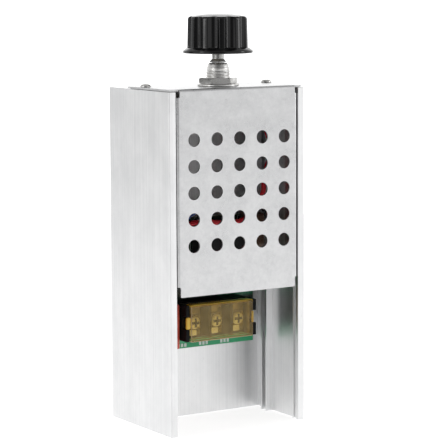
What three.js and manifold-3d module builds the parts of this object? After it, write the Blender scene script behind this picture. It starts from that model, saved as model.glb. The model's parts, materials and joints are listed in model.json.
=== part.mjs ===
// A triac voltage regulator: a control board and potentiometer in a finned aluminium extrusion.
// Millimetres, +Z up. The origin is at the middle of the case's bottom end, and the open front faces -Y.

import * as THREE from 'three';
import { mergeVertices } from 'three/addons/utils/BufferGeometryUtils.js';
import Module from 'manifold-3d';

const wasm = await Module();
wasm.setup();

// ---------------------------------------------------------------------------------------------
// Driving dimensions
// ---------------------------------------------------------------------------------------------

const GAP = 0.3;                 // left between two pieces that touch

// Extruded housing
const CASE_WIDTH = 80;
const CASE_DEPTH = 60;
const CASE_HEIGHT = 172;
const WALL = 2.1;
const LIP_WIDTH = 3.9;
const LIP_DEPTH = 2.5;
const GUIDE_RIB = { start: 5.0, thickness: 1.2, height: 1.3 };
const SCREW_RIB = { start: 26.5, thickness: 1.2, slot: 3.2, height: 3.9 };
const BACK_PLATE_FRONT = 40.9;   // measured back from the lips
const BACK_PLATE = 3.5;
const FIN_COUNT = 7;
const FIN_THICKNESS = 1.8;

// Bent front cover
const SHEET = 1.0;
const BEND_RADIUS = 1.6;         // outer
const COVER_WIDTH = 71.2;
const COVER_SHIFT = 0.2;         // the cover sits a little to the right between the lips
const COVER_BOTTOM = 70.1;
const FLANGE_BOTTOM = 75.3;
const FLANGE_TOP = 169.0;
const FLANGE_DEPTH = 10;
const TOP_PLATE_WIDTH = 78.6;
const TOP_PLATE_BACK = 40.5;
const VENT_RADIUS = 3.35;
const VENT_PITCH = { across: 13.35, up: 13.2 };
const VENT_ROWS = 5;
const VENT_FIRST_Z = 95.1;
const VENT_CENTRE_X = 0.85;
const COVER_SCREW_RADIUS = 1.4;

// Potentiometer, on a vertical axis through the top plate
const POT_BACK = 18.7;           // axis, measured back from the lips
const SHAFT_RADIUS = 3.0;
const SHAFT_BORE = 3.08;
const BUSH_RADIUS = 5.85;
const BUSH_NECK_RADIUS = 4.65;
const NUT_ACROSS_FLATS = 17;
const NUT_TURN = 38;             // degrees, from +X to a corner
const WASHER_RADIUS = 10.5;
const CAN_RADIUS = 12.6;
const LUG_SPACING = 5.5;

// Knob
const KNOB_BASE_Z = 189.7;
const KNOB_HEIGHT = 18.5;
const KNOB_FOOT_RADIUS = 15.45;
const KNOB_TOP_RADIUS = 15.1;
const SKIRT_RADIUS = 17.75;
const FLUTES = 11;
const FLUTE_RADIUS = 3.3;
const FLUTE_CENTRE_RADIUS = 16.7;
const FIRST_FLUTE = -130.1;      // degrees about the shaft, counter-clockwise from +X

// Circuit board
const BOARD = { left: -32, right: 32, bottom: 36.8, top: 104.5, front: 36.4, thickness: 1.6 };
const BOARD_SCREWS = [[-28.4, 70], [-28.4, 100.9], [28.4, 76]];

// Terminal block
const POLES = 3;
const POLE_PITCH = 13;
const POLE_Z = 52.4;
const BLOCK = { half: 21.0, bottom: 44.0, top: 62.5, front: 16.4, floor: 25.5 };
const BLOCK_END_WALL = 1.9;
const CLIP = { bottom: 50.2, top: 56.8, depth: 4.0 };
const SHIELD = { half: 18.7, bottom: 43.6, top: 62.9, front: 15.5, thickness: 1.2, skirt: 4.6 };

// Triac on the back plate
const TRIAC = { x: -15.2, bottom: 112, width: 15.6, height: 20, thickness: 4.9 };

// ---------------------------------------------------------------------------------------------
// Places worked out from the driving dimensions
// ---------------------------------------------------------------------------------------------

const FRONT = -CASE_DEPTH / 2;
const back = (distance) => FRONT + distance;   // a place measured back from the lips, as a Y
const INNER_HALF = CASE_WIDTH / 2 - WALL;
const TOP_PLATE_Z = CASE_HEIGHT + 0.2;
const TOP_PLATE_TOP = TOP_PLATE_Z + SHEET;
const POT_Y = back(POT_BACK);
const SCREW_SLOT_Y = back(SCREW_RIB.start + SCREW_RIB.thickness + SCREW_RIB.slot / 2);
const SCREW_SLOT_X = INNER_HALF - SCREW_RIB.height / 2 + 0.15;
const poleX = (index) => (index - (POLES - 1) / 2) * POLE_PITCH + 0.4;

// Sides of a round piece
const FINE = 33;
const ROUND = 24;
const SMALL = 12;
const TINY = 8;

// ---------------------------------------------------------------------------------------------
// Solids: three.js geometry in, one closed body out
// ---------------------------------------------------------------------------------------------

function signedVolume(position, index) {
  const a = new THREE.Vector3();
  const b = new THREE.Vector3();
  const c = new THREE.Vector3();
  let total = 0;
  for (let i = 0; i < index.length; i += 3) {
    a.fromBufferAttribute(position, index[i]);
    b.fromBufferAttribute(position, index[i + 1]);
    c.fromBufferAttribute(position, index[i + 2]);
    total += a.dot(b.cross(c)) / 6;
  }
  return total;
}

// Merges shared corners, drops collapsed triangles and turns the faces outward.
function solid(geometry) {
  geometry.deleteAttribute('normal');
  geometry.deleteAttribute('uv');
  const merged = mergeVertices(geometry, 1e-4);
  const corners = merged.index.array;
  const kept = [];
  for (let i = 0; i < corners.length; i += 3) {
    const [a, b, c] = [corners[i], corners[i + 1], corners[i + 2]];
    if (a !== b && b !== c && c !== a) {
      kept.push(a, b, c);
    }
  }
  if (signedVolume(merged.attributes.position, kept) < 0) {
    kept.reverse();
  }
  return new wasm.Manifold(new wasm.Mesh({
    numProp: 3,
    vertProperties: new Float32Array(merged.attributes.position.array),
    triVerts: new Uint32Array(kept),
  }));
}

const join = (first, ...others) => others.reduce((sum, other) => sum.add(other), first);
const cut = (first, ...others) => others.reduce((rest, other) => rest.subtract(other), first);

function box(x0, x1, y0, y1, z0, z1) {
  const geometry = new THREE.BoxGeometry(x1 - x0, y1 - y0, z1 - z0);
  return solid(geometry.translate((x0 + x1) / 2, (y0 + y1) / 2, (z0 + z1) / 2));
}

function cylinderZ(radius, z0, z1, x = 0, y = 0, sides = ROUND) {
  const geometry = new THREE.CylinderGeometry(radius, radius, z1 - z0, sides);
  return solid(geometry.rotateX(Math.PI / 2).translate(x, y, (z0 + z1) / 2));
}

function cylinderY(radius, y0, y1, x = 0, z = 0, sides = ROUND) {
  const geometry = new THREE.CylinderGeometry(radius, radius, y1 - y0, sides);
  return solid(geometry.translate(x, (y0 + y1) / 2, z));
}

function cylinderX(radius, x0, x1, y, z, sides = SMALL) {
  const geometry = new THREE.CylinderGeometry(radius, radius, x1 - x0, sides);
  return solid(geometry.rotateZ(Math.PI / 2).translate((x0 + x1) / 2, y, z));
}

// A profile of [radius, height] points turned about a vertical axis.
function turnedZ(profile, x = 0, y = 0, sides = FINE) {
  const points = profile.map(([radius, height]) => new THREE.Vector2(radius, height));
  return solid(new THREE.LatheGeometry(points, sides).rotateX(Math.PI / 2).translate(x, y, 0));
}

// A profile of [radius, depth] points turned about an axis along Y, with depth measured along +Y.
function turnedY(profile, x, y, z, sides = ROUND) {
  const points = profile.map(([radius, depth]) => new THREE.Vector2(radius, depth));
  return solid(new THREE.LatheGeometry(points, sides).translate(x, y, z));
}

function outline(points) {
  return new THREE.Shape(points.map(([u, v]) => new THREE.Vector2(u, v)));
}

function prismZ(points, z0, z1) {
  const geometry = new THREE.ExtrudeGeometry(outline(points), { depth: z1 - z0, bevelEnabled: false });
  return solid(geometry.translate(0, 0, z0));
}

// Points are [y, z] pairs, and the prism runs along X.
function prismX(points, x0, x1) {
  const geometry = new THREE.ExtrudeGeometry(outline(points), { depth: x1 - x0, bevelEnabled: false });
  return solid(geometry.rotateX(Math.PI / 2).rotateZ(Math.PI / 2).translate(x0, 0, 0));
}

// A quarter arc about a centre, from one angle to another in degrees.
function arc(centre, radius, from, to, steps = 5) {
  return Array.from({ length: steps + 1 }, (_, i) => {
    const angle = THREE.MathUtils.degToRad(from + ((to - from) * i) / steps);
    return [centre[0] + radius * Math.cos(angle), centre[1] + radius * Math.sin(angle)];
  });
}

function wire(points, radius, steps) {
  const circle = arc([0, 0], radius, 0, 300, 5);
  const path = new THREE.CatmullRomCurve3(points.map((p) => new THREE.Vector3(...p)));
  return solid(new THREE.ExtrudeGeometry(outline(circle), { steps, extrudePath: path, bevelEnabled: false }));
}

// ---------------------------------------------------------------------------------------------
// The scene
// ---------------------------------------------------------------------------------------------

const regulator = new THREE.Group();

const finish = (color, roughness, metalness, extra = {}) =>
  new THREE.MeshStandardMaterial({ color, roughness, metalness, ...extra });
const MATERIALS = {
  aluminium: finish(0xd9dbdc, 0.45, 0.9),
  sheet: finish(0xcfd1d2, 0.4, 0.9),
  nickel: finish(0xbfc0bd, 0.3, 1.0),
  steel: finish(0xb8b9ba, 0.35, 1.0),
  brass: finish(0xc9a24a, 0.35, 1.0),
  bakelite: finish(0x141414, 0.25, 0.0),
  phenolic: finish(0x5b3a1e, 0.7, 0.0),
  blockBlack: finish(0x101012, 0.5, 0.0),
  amber: finish(0xc08a1e, 0.15, 0.0, { transparent: true, opacity: 0.45 }),
  board: finish(0x1f7a4f, 0.45, 0.0),
  redFilm: finish(0x8c2f2a, 0.4, 0.0),
  brownFilm: finish(0x6b4a34, 0.5, 0.0),
  epoxy: finish(0x17171a, 0.5, 0.0),
  pad: finish(0x9aa0a6, 0.8, 0.0),
  glass: finish(0x3d5a8c, 0.2, 0.0),
  redWire: finish(0xb3202a, 0.5, 0.0),
  blackWire: finish(0x1a1a1a, 0.5, 0.0),
  blueWire: finish(0x22406b, 0.5, 0.0),
};

function addPiece(name, shape, material, place = null) {
  const { vertProperties, triVerts } = shape.getMesh();
  const geometry = new THREE.BufferGeometry();
  geometry.setAttribute('position', new THREE.BufferAttribute(vertProperties, 3));
  geometry.setIndex(new THREE.BufferAttribute(triVerts, 1));
  geometry.computeVertexNormals();
  const piece = new THREE.Mesh(geometry, MATERIALS[material]);
  piece.name = name;
  if (place) {
    piece.position.set(...place);
  }
  regulator.add(piece);
}

// ---------------------------------------------------------------------------------------------
// Housing: two side walls joined by a back plate with cooling fins behind it
// ---------------------------------------------------------------------------------------------

function housingOutline() {
  const inner = INNER_HALF;
  const outer = CASE_WIDTH / 2;
  const ribTip = inner - SCREW_RIB.height;
  const slotFront = SCREW_RIB.start + SCREW_RIB.thickness;
  const slotBack = slotFront + SCREW_RIB.slot;
  const guideTip = inner - GUIDE_RIB.height;
  const right = [
    [inner, BACK_PLATE_FRONT],
    [inner, slotBack + SCREW_RIB.thickness],
    [ribTip, slotBack + SCREW_RIB.thickness],
    [ribTip, slotBack],
    [inner, slotBack],
    [inner, slotFront],
    [ribTip, slotFront],
    [ribTip, SCREW_RIB.start],
    [inner, SCREW_RIB.start],
    [inner, GUIDE_RIB.start + GUIDE_RIB.thickness],
    [guideTip, GUIDE_RIB.start + GUIDE_RIB.thickness],
    [guideTip, GUIDE_RIB.start],
    [inner, GUIDE_RIB.start],
    [inner, LIP_DEPTH],
    [outer - LIP_WIDTH, LIP_DEPTH],
    [outer - LIP_WIDTH, 0],
    [outer - 0.4, 0],
    [outer, 0.4],
    [outer, CASE_DEPTH],
    [inner, CASE_DEPTH],
    [inner, BACK_PLATE_FRONT + BACK_PLATE],
  ];
  const left = right.map(([x, y]) => [-x, y]).reverse();
  const fins = [];
  const finPitch = (2 * inner) / (FIN_COUNT + 1);
  for (let i = FIN_COUNT - 1; i >= 0; i -= 1) {
    const x = (i - (FIN_COUNT - 1) / 2) * finPitch;
    fins.push([x + FIN_THICKNESS / 2, BACK_PLATE_FRONT + BACK_PLATE]);
    fins.push([x + FIN_THICKNESS / 2, CASE_DEPTH]);
    fins.push([x - FIN_THICKNESS / 2, CASE_DEPTH]);
    fins.push([x - FIN_THICKNESS / 2, BACK_PLATE_FRONT + BACK_PLATE]);
  }
  return [...right, ...fins, ...left].map(([x, y]) => [x, back(y)]);
}

const BACK_PLATE_HOLE = 1.7;
const TRIAC_SCREW_Z = TRIAC.bottom + 15;

function buildHousing() {
  const holeFront = back(BACK_PLATE_FRONT - 1);
  const holeBack = back(BACK_PLATE_FRONT + BACK_PLATE + 1);
  const plateHole = (x, z) => cylinderY(BACK_PLATE_HOLE, holeFront, holeBack, x, z, TINY);
  const holes = BOARD_SCREWS.map(([x, z]) => plateHole(x, z));
  holes.push(plateHole(TRIAC.x, TRIAC_SCREW_Z));
  addPiece('heatsink_housing', cut(prismZ(housingOutline(), 0, CASE_HEIGHT), ...holes), 'aluminium');
}

// ---------------------------------------------------------------------------------------------
// Front cover: one sheet bent back along both sides and over the top
// ---------------------------------------------------------------------------------------------

function buildFrontCover() {
  const half = COVER_WIDTH / 2;
  const flat = half - BEND_RADIUS;
  const innerRadius = BEND_RADIUS - SHEET;
  const bendY = FRONT + BEND_RADIUS;
  const flanged = prismZ([
    ...arc([-flat, bendY], BEND_RADIUS, 180, 270),
    ...arc([flat, bendY], BEND_RADIUS, 270, 360),
    [half, FRONT + FLANGE_DEPTH],
    [half - SHEET, FRONT + FLANGE_DEPTH],
    ...arc([flat, bendY], innerRadius, 360, 270),
    ...arc([-flat, bendY], innerRadius, 270, 180),
    [-half + SHEET, FRONT + FLANGE_DEPTH],
    [-half, FRONT + FLANGE_DEPTH],
  ].map(([x, y]) => [x + COVER_SHIFT, y]), FLANGE_BOTTOM, FLANGE_TOP);

  const bendZ = TOP_PLATE_TOP - BEND_RADIUS;
  const overTop = prismX([
    [FRONT, COVER_BOTTOM],
    [FRONT + SHEET, COVER_BOTTOM],
    ...arc([bendY, bendZ], innerRadius, 180, 90),
    [back(TOP_PLATE_BACK), TOP_PLATE_Z],
    [back(TOP_PLATE_BACK), TOP_PLATE_TOP],
    ...arc([bendY, bendZ], BEND_RADIUS, 90, 180),
  ], COVER_SHIFT - flat, COVER_SHIFT + flat);

  const earStart = bendY - 0.6;
  const topHalf = TOP_PLATE_WIDTH / 2;
  const under = TOP_PLATE_Z - 1;
  const above = TOP_PLATE_TOP + 1;
  const ears = cut(
    box(-topHalf, topHalf, earStart, back(TOP_PLATE_BACK), TOP_PLATE_Z, TOP_PLATE_TOP),
    box(COVER_SHIFT - flat + 1, COVER_SHIFT + flat - 1, earStart - 1, bendY + 1, under, above),
  );

  const openings = [cylinderZ(BUSH_RADIUS + GAP, under, above, 0, POT_Y, ROUND)];
  const screwHole = COVER_SCREW_RADIUS + GAP;
  for (const side of [-1, 1]) {
    openings.push(cylinderZ(screwHole, under, above, side * SCREW_SLOT_X, SCREW_SLOT_Y, SMALL));
  }
  for (let row = 0; row < VENT_ROWS; row += 1) {
    for (let column = 0; column < VENT_ROWS; column += 1) {
      const x = VENT_CENTRE_X + (column - (VENT_ROWS - 1) / 2) * VENT_PITCH.across;
      const z = VENT_FIRST_Z + row * VENT_PITCH.up;
      openings.push(cylinderY(VENT_RADIUS, FRONT - 1, FRONT + SHEET + 1, x, z, SMALL));
    }
  }
  addPiece('front_cover', cut(join(flanged, overTop, ears), ...openings), 'sheet');
}

// ---------------------------------------------------------------------------------------------
// Pan-head screws with a cross recess, made pointing along -Z or +Y
// ---------------------------------------------------------------------------------------------

function screwProfile(headRadius, headHeight, shankRadius, length) {
  return [
    [0, headHeight],
    [headRadius * 0.55, headHeight * 0.97],
    [headRadius * 0.88, headHeight * 0.72],
    [headRadius, headHeight * 0.35],
    [headRadius, 0],
    [shankRadius, 0],
    [shankRadius, -length + shankRadius * 0.6],
    [shankRadius * 0.4, -length],
    [0, -length],
  ];
}

function crossRecess(headRadius, headHeight) {
  const arm = headRadius * 0.5;
  const slot = headRadius * 0.15;
  const floor = headHeight * 0.35;
  return join(
    box(-arm, arm, -slot, slot, floor, headHeight + 1),
    box(-slot, slot, -arm, arm, floor, headHeight + 1),
  );
}

function panScrew(headRadius, headHeight, shankRadius, length) {
  const profile = screwProfile(headRadius, headHeight, shankRadius, length);
  return cut(turnedZ(profile, 0, 0, SMALL), crossRecess(headRadius, headHeight));
}

// The head of a screw made along Z is turned to face -Y.
const facingFront = (shape) => shape.rotate([90, 0, 0]);

function buildCoverScrews() {
  const screw = panScrew(2.7, 1.9, COVER_SCREW_RADIUS, 9);
  for (const [side, name] of [[-1, 'left'], [1, 'right']]) {
    const place = [side * SCREW_SLOT_X, SCREW_SLOT_Y, TOP_PLATE_TOP + 0.1];
    addPiece(`cover_screw_${name}`, screw, 'nickel', place);
  }
}

// ---------------------------------------------------------------------------------------------
// Potentiometer
// ---------------------------------------------------------------------------------------------

const POT_FLANGE = { bottom: 170.6, top: 172.0, radius: 13 };
const WAFER = { bottom: 168.0, top: 169.6, radius: 13 };
const BUSH_THREAD_TOP = 182.7;
const BUSH_TOP = 184.6;
const RING = { bottom: 185.0, top: 186.6, radius: 3.6 };
const NUT = { bottom: 174.3, top: 177.4 };
const INSERT_TOP = 201.5;

function buildPotentiometer() {
  const bushStep = BUSH_THREAD_TOP - 0.5;
  addPiece('pot_bush', turnedZ([
    [SHAFT_BORE, POT_FLANGE.bottom],
    [POT_FLANGE.radius, POT_FLANGE.bottom],
    [POT_FLANGE.radius, POT_FLANGE.top],
    [BUSH_RADIUS, POT_FLANGE.top],
    [BUSH_RADIUS, bushStep],
    [BUSH_NECK_RADIUS, BUSH_THREAD_TOP],
    [BUSH_NECK_RADIUS, BUSH_TOP - 0.3],
    [BUSH_NECK_RADIUS - 0.3, BUSH_TOP],
    [SHAFT_BORE, BUSH_TOP],
    [SHAFT_BORE, POT_FLANGE.bottom],
  ], 0, POT_Y, ROUND), 'nickel');

  addPiece('pot_washer', turnedZ([
    [BUSH_RADIUS + GAP, TOP_PLATE_TOP + 0.15],
    [WASHER_RADIUS, TOP_PLATE_TOP + 0.15],
    [WASHER_RADIUS, NUT.bottom - 0.15],
    [BUSH_RADIUS + GAP, NUT.bottom - 0.15],
    [BUSH_RADIUS + GAP, TOP_PLATE_TOP + 0.15],
  ], 0, POT_Y, ROUND), 'nickel');

  const corner = NUT_ACROSS_FLATS / Math.sqrt(3);
  const chamfer = 0.8;
  const hexagon = arc([0, 0], corner, NUT_TURN, NUT_TURN + 300, 5);
  const chamfered = turnedZ([
    [0, NUT.bottom],
    [corner - chamfer, NUT.bottom],
    [corner, NUT.bottom + chamfer * 0.6],
    [corner, NUT.top - chamfer * 0.6],
    [corner - chamfer, NUT.top],
    [0, NUT.top],
  ], 0, 0, ROUND);
  const nutBlank = prismZ(hexagon, NUT.bottom, NUT.top).intersect(chamfered);
  const nutBore = cylinderZ(BUSH_RADIUS + 0.15, NUT.bottom - 1, NUT.top + 1, 0, 0, ROUND);
  addPiece('pot_nut', cut(nutBlank, nutBore), 'nickel', [0, POT_Y, 0]);

  const lugShelf = box(10, 16, -8.5, 8.5, WAFER.bottom, WAFER.top);
  const wafer = join(cylinderZ(WAFER.radius, WAFER.bottom, WAFER.top, 0, 0, ROUND), lugShelf);
  const waferHole = cylinderZ(SHAFT_RADIUS + 0.6, WAFER.bottom - 1, WAFER.top + 1);
  addPiece('pot_wafer', cut(wafer, waferHole), 'phenolic', [0, POT_Y, 0]);

  for (let i = 0; i < 3; i += 1) {
    const y = (i - 1) * LUG_SPACING;
    const strip = box(11, 20.5, y - 1.2, y + 1.2, WAFER.top + 0.1, WAFER.top + 0.6);
    const eye = cylinderZ(0.8, WAFER.top - 1, WAFER.top + 2, 19, y, TINY);
    addPiece(`pot_lug_${i + 1}`, cut(strip, eye), 'brass', [0, POT_Y, 0]);
  }

  const canTop = WAFER.bottom - 0.2;
  const canBottom = 157.5;
  addPiece('pot_can', turnedZ([
    [0, canBottom],
    [CAN_RADIUS - 0.8, canBottom],
    [CAN_RADIUS, canBottom + 0.8],
    [CAN_RADIUS, canTop],
    [CAN_RADIUS - 0.7, canTop],
    [CAN_RADIUS - 0.7, canBottom + 0.9],
    [0, canBottom + 0.9],
  ], 0, POT_Y, ROUND), 'nickel');

  const rotor = join(
    cylinderZ(8.5, 164, 166.4, 0, 0, ROUND),
    box(-1.5, 1.5, -11, -6, 165.6, 166.4),
    cylinderZ(1.0, 166, WAFER.bottom - 0.2, 0, -10, TINY),
  );
  const rotorBore = cylinderZ(SHAFT_BORE, 163, 168, 0, 0, ROUND);
  addPiece('pot_wiper', cut(rotor, rotorBore), 'phenolic', [0, POT_Y, 0]);

  const groove = SHAFT_RADIUS - 0.7;
  addPiece('pot_shaft', turnedZ([
    [0, 162.6],
    [SHAFT_RADIUS, 162.6],
    [SHAFT_RADIUS, RING.bottom - 0.1],
    [groove, RING.bottom - 0.1],
    [groove, RING.top + 0.1],
    [SHAFT_RADIUS, RING.top + 0.1],
    [SHAFT_RADIUS, INSERT_TOP - 1.0],
    [SHAFT_RADIUS - 0.6, INSERT_TOP - 0.4],
    [0, INSERT_TOP - 0.4],
  ], 0, POT_Y, ROUND), 'nickel');

  const clip = cut(
    cylinderZ(RING.radius, RING.bottom, RING.top, 0, 0, ROUND),
    cylinderZ(groove + 0.12, RING.bottom - 1, RING.top + 1, 0, 0, ROUND),
    box(-1.3, 1.3, 0, 5, RING.bottom - 1, RING.top + 1),
  );
  addPiece('pot_retaining_ring', clip, 'steel', [0, POT_Y, 0]);
}

// ---------------------------------------------------------------------------------------------
// Knob: a fluted grip on a flared skirt, hollow underneath round a central hub
// ---------------------------------------------------------------------------------------------

const HUB_RADIUS = 6.8;
const INSERT_RADIUS = 4.6;
const SET_SCREW_Z = KNOB_BASE_Z + 7;

function buildKnob() {
  const base = KNOB_BASE_Z;
  const top = base + KNOB_HEIGHT;
  const shell = turnedZ([
    [0, INSERT_TOP + 0.2],
    [INSERT_RADIUS, INSERT_TOP + 0.2],
    [INSERT_RADIUS, base + 0.8],
    [HUB_RADIUS, base + 0.8],
    [HUB_RADIUS, base + 12.5],
    [11.2, base + 12.5],
    [12.0, base],
    [SKIRT_RADIUS - 0.4, base],
    [SKIRT_RADIUS, base + 0.4],
    [SKIRT_RADIUS, base + 1.1],
    [KNOB_FOOT_RADIUS + 0.3, base + 2.6],
    [KNOB_FOOT_RADIUS, base + 3.0],
    ...arc([KNOB_TOP_RADIUS - 1.6, top - 1.6], 1.6, 0, 90, 4),
    [0, top],
  ], 0, 0, FINE);
  const flutes = [];
  for (let i = 0; i < FLUTES; i += 1) {
    const angle = THREE.MathUtils.degToRad(FIRST_FLUTE + (360 / FLUTES) * i);
    const x = FLUTE_CENTRE_RADIUS * Math.cos(angle);
    const y = FLUTE_CENTRE_RADIUS * Math.sin(angle);
    flutes.push(cylinderZ(FLUTE_RADIUS, base + 2.7, top + 1, x, y, SMALL));
  }
  const screwHole = cylinderY(1.8, 1, SKIRT_RADIUS, 0, SET_SCREW_Z, SMALL);
  addPiece('knob', cut(shell, ...flutes, screwHole), 'bakelite', [0, POT_Y, 0]);

  const insertRadius = INSERT_RADIUS - 0.1;
  const insert = turnedZ([
    [SHAFT_BORE, base + 0.6],
    [insertRadius, base + 0.6],
    [insertRadius, INSERT_TOP],
    [SHAFT_BORE, INSERT_TOP],
    [SHAFT_BORE, base + 0.6],
  ], 0, 0, ROUND);
  addPiece('knob_insert', cut(insert, screwHole), 'brass', [0, POT_Y, 0]);

  const grub = turnedY([
    [0, SHAFT_RADIUS + 0.2],
    [1.0, SHAFT_RADIUS + 0.2],
    [1.5, SHAFT_RADIUS + 0.8],
    [1.5, 9.0],
    [0, 9.0],
  ], 0, 0, SET_SCREW_Z, SMALL);
  const slot = box(-0.3, 0.3, 8.2, 10, SET_SCREW_Z - 2, SET_SCREW_Z + 2);
  addPiece('knob_set_screw', cut(grub, slot), 'steel', [0, POT_Y, 0]);
}

// ---------------------------------------------------------------------------------------------
// Circuit board with its stand-offs, screws and parts
// ---------------------------------------------------------------------------------------------

const BOARD_FRONT = back(BOARD.front);
const BOARD_BACK = BOARD_FRONT + BOARD.thickness;
const PLATE_Y = back(BACK_PLATE_FRONT);
const POLE_PIN_Z = BLOCK.top - 3.2;
const WIRE_PADS = { blue: [-18, 98], red: [-14, 98], black: [-10, 98] };

function buildBoard() {
  const holes = BOARD_SCREWS.map(([x, z]) => cylinderY(1.7, BOARD_FRONT - 1, BOARD_BACK + 1, x, z, SMALL));
  for (let i = 0; i < POLES; i += 1) {
    holes.push(cylinderY(1.1, BOARD_FRONT - 1, BOARD_BACK + 1, poleX(i), POLE_PIN_Z, SMALL));
  }
  const blank = box(BOARD.left, BOARD.right, BOARD_FRONT, BOARD_BACK, BOARD.bottom, BOARD.top);
  addPiece('circuit_board', cut(blank, ...holes), 'board');

  const screw = facingFront(panScrew(2.75, 2.0, 1.4, 8));
  BOARD_SCREWS.forEach(([x, z], i) => {
    const spacer = cut(
      cylinderY(2.9, BOARD_BACK + 0.1, PLATE_Y - 0.1, x, z, SMALL),
      cylinderY(1.65, BOARD_BACK - 1, PLATE_Y + 1, x, z, SMALL),
    );
    addPiece(`board_standoff_${i + 1}`, spacer, 'brass');
    addPiece(`board_screw_${i + 1}`, screw, 'nickel', [x, BOARD_FRONT - 0.1, z]);
  });
}

// A moulded block with rounded front edges, standing on the board.
function boardBlock(x0, x1, z0, z1, height) {
  const bottom = BOARD_FRONT - 0.1;
  const r = 1.2;
  const top = bottom - height;
  return prismX([
    [bottom, z0],
    [bottom, z1],
    ...arc([top + r, z1 - r], r, 90, 180, 3),
    ...arc([top + r, z0 + r], r, 180, 270, 3),
  ], x0, x1);
}

// A body on the board held by two legs, lying along X or Z.
function axialPart(radius, length, legRadius, centre, along) {
  const [x, z] = centre;
  const y = BOARD_FRONT - radius - 1.5;
  const half = length / 2;
  const reach = half + 2.5;
  const legEnd = BOARD_FRONT - GAP;
  if (along === 'x') {
    return join(
      cylinderX(radius, x - half, x + half, y, z),
      cylinderX(legRadius, x - reach, x + reach, y, z, 8),
      cylinderY(legRadius, y - legRadius, legEnd, x - reach, z, 8),
      cylinderY(legRadius, y - legRadius, legEnd, x + reach, z, 8),
    );
  }
  return join(
    cylinderZ(radius, z - half, z + half, x, y, SMALL),
    cylinderZ(legRadius, z - reach, z + reach, x, y, 8),
    cylinderY(legRadius, y - legRadius, legEnd, x, z - reach, 8),
    cylinderY(legRadius, y - legRadius, legEnd, x, z + reach, 8),
  );
}

function buildBoardParts() {
  addPiece('filter_capacitor', boardBlock(-31.6, -21.6, 39.6, 63, 15), 'redFilm');
  addPiece('snubber_capacitor', boardBlock(-6, 21, 84.4, 100.8, 14), 'epoxy');
  addPiece('timing_capacitor', boardBlock(23, 31.5, 88, 106.4, 14), 'brownFilm');
  addPiece('snubber_resistor', axialPart(2.4, 15, 0.4, [-20, 79], 'z'), 'brownFilm');
  addPiece('timing_resistor', axialPart(1.2, 7, 0.35, [4, 79], 'x'), 'brownFilm');
  addPiece('diac', axialPart(0.95, 4.2, 0.3, [18, 79], 'x'), 'glass');
}

function buildTriac() {
  const { x, bottom, width, height, thickness } = TRIAC;
  const padFront = PLATE_Y - 0.4;
  const bodyBack = padFront - 0.1;
  const bodyFront = bodyBack - thickness;
  const body = box(x - width / 2, x + width / 2, bodyFront, bodyBack, bottom, bottom + height);
  const legs = [-1, 0, 1].map((side) => {
    const legX = x + side * 5.45;
    return box(legX - 0.6, legX + 0.6, BOARD_BACK + 0.4, BOARD_BACK + 1.0, BOARD.top - 5, bottom + 1);
  });
  const hole = cylinderY(1.8, bodyFront - 1, bodyBack + 1, x, TRIAC_SCREW_Z, SMALL);
  addPiece('triac', cut(join(body, ...legs), hole), 'epoxy');

  const padHalf = width / 2 + 1;
  const pad = box(x - padHalf, x + padHalf, padFront, PLATE_Y - 0.1, bottom - 1, bottom + height + 1);
  const padHole = cylinderY(1.8, padFront - 1, PLATE_Y + 1, x, TRIAC_SCREW_Z, SMALL);
  addPiece('triac_pad', cut(pad, padHole), 'pad');

  const screw = facingFront(panScrew(2.9, 2.2, 1.4, 9));
  addPiece('triac_screw', screw, 'nickel', [x, bodyFront - 0.1, TRIAC_SCREW_Z]);
}

// ---------------------------------------------------------------------------------------------
// Terminal block: a moulded body, three screws with square clamps, and a clip-on shield
// ---------------------------------------------------------------------------------------------

function buildTerminalBody() {
  const { half, bottom, top, front, floor } = BLOCK;
  const inner = half - BLOCK_END_WALL;
  const floorY = back(floor);
  const parts = [box(-half, half, floorY, BOARD_FRONT - 0.1, bottom, top)];
  for (const side of [-1, 1]) {
    const [x0, x1] = side < 0 ? [-half, -inner] : [inner, half];
    parts.push(box(x0, x1, back(front), floorY + 1, bottom, top));
  }
  for (let i = 0; i < POLES - 1; i += 1) {
    const x = (poleX(i) + poleX(i + 1)) / 2;
    parts.push(box(x - 0.8, x + 0.8, back(SHIELD.front + 2.2), floorY + 1, bottom + 1.2, top - 1.2));
  }
  const recesses = [
    box(-half - 1, half + 1, back(front) - 1, back(front + CLIP.depth), CLIP.bottom, CLIP.top),
  ];
  for (let i = 0; i < POLES; i += 1) {
    recesses.push(cylinderY(3.4, floorY - 1, floorY + 5, poleX(i), POLE_Z, SMALL));
    recesses.push(cylinderY(1.1, floorY - 1, BOARD_FRONT + 1, poleX(i), POLE_PIN_Z, SMALL));
  }
  const dividers = parts.splice(3);
  const walls = cut(join(...parts), ...recesses);
  addPiece('terminal_body', join(walls, ...dividers), 'blockBlack');
}

const LUG_FRONT = back(24.3);
const LUG_BACK = back(BLOCK.floor) - 0.1;

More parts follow.
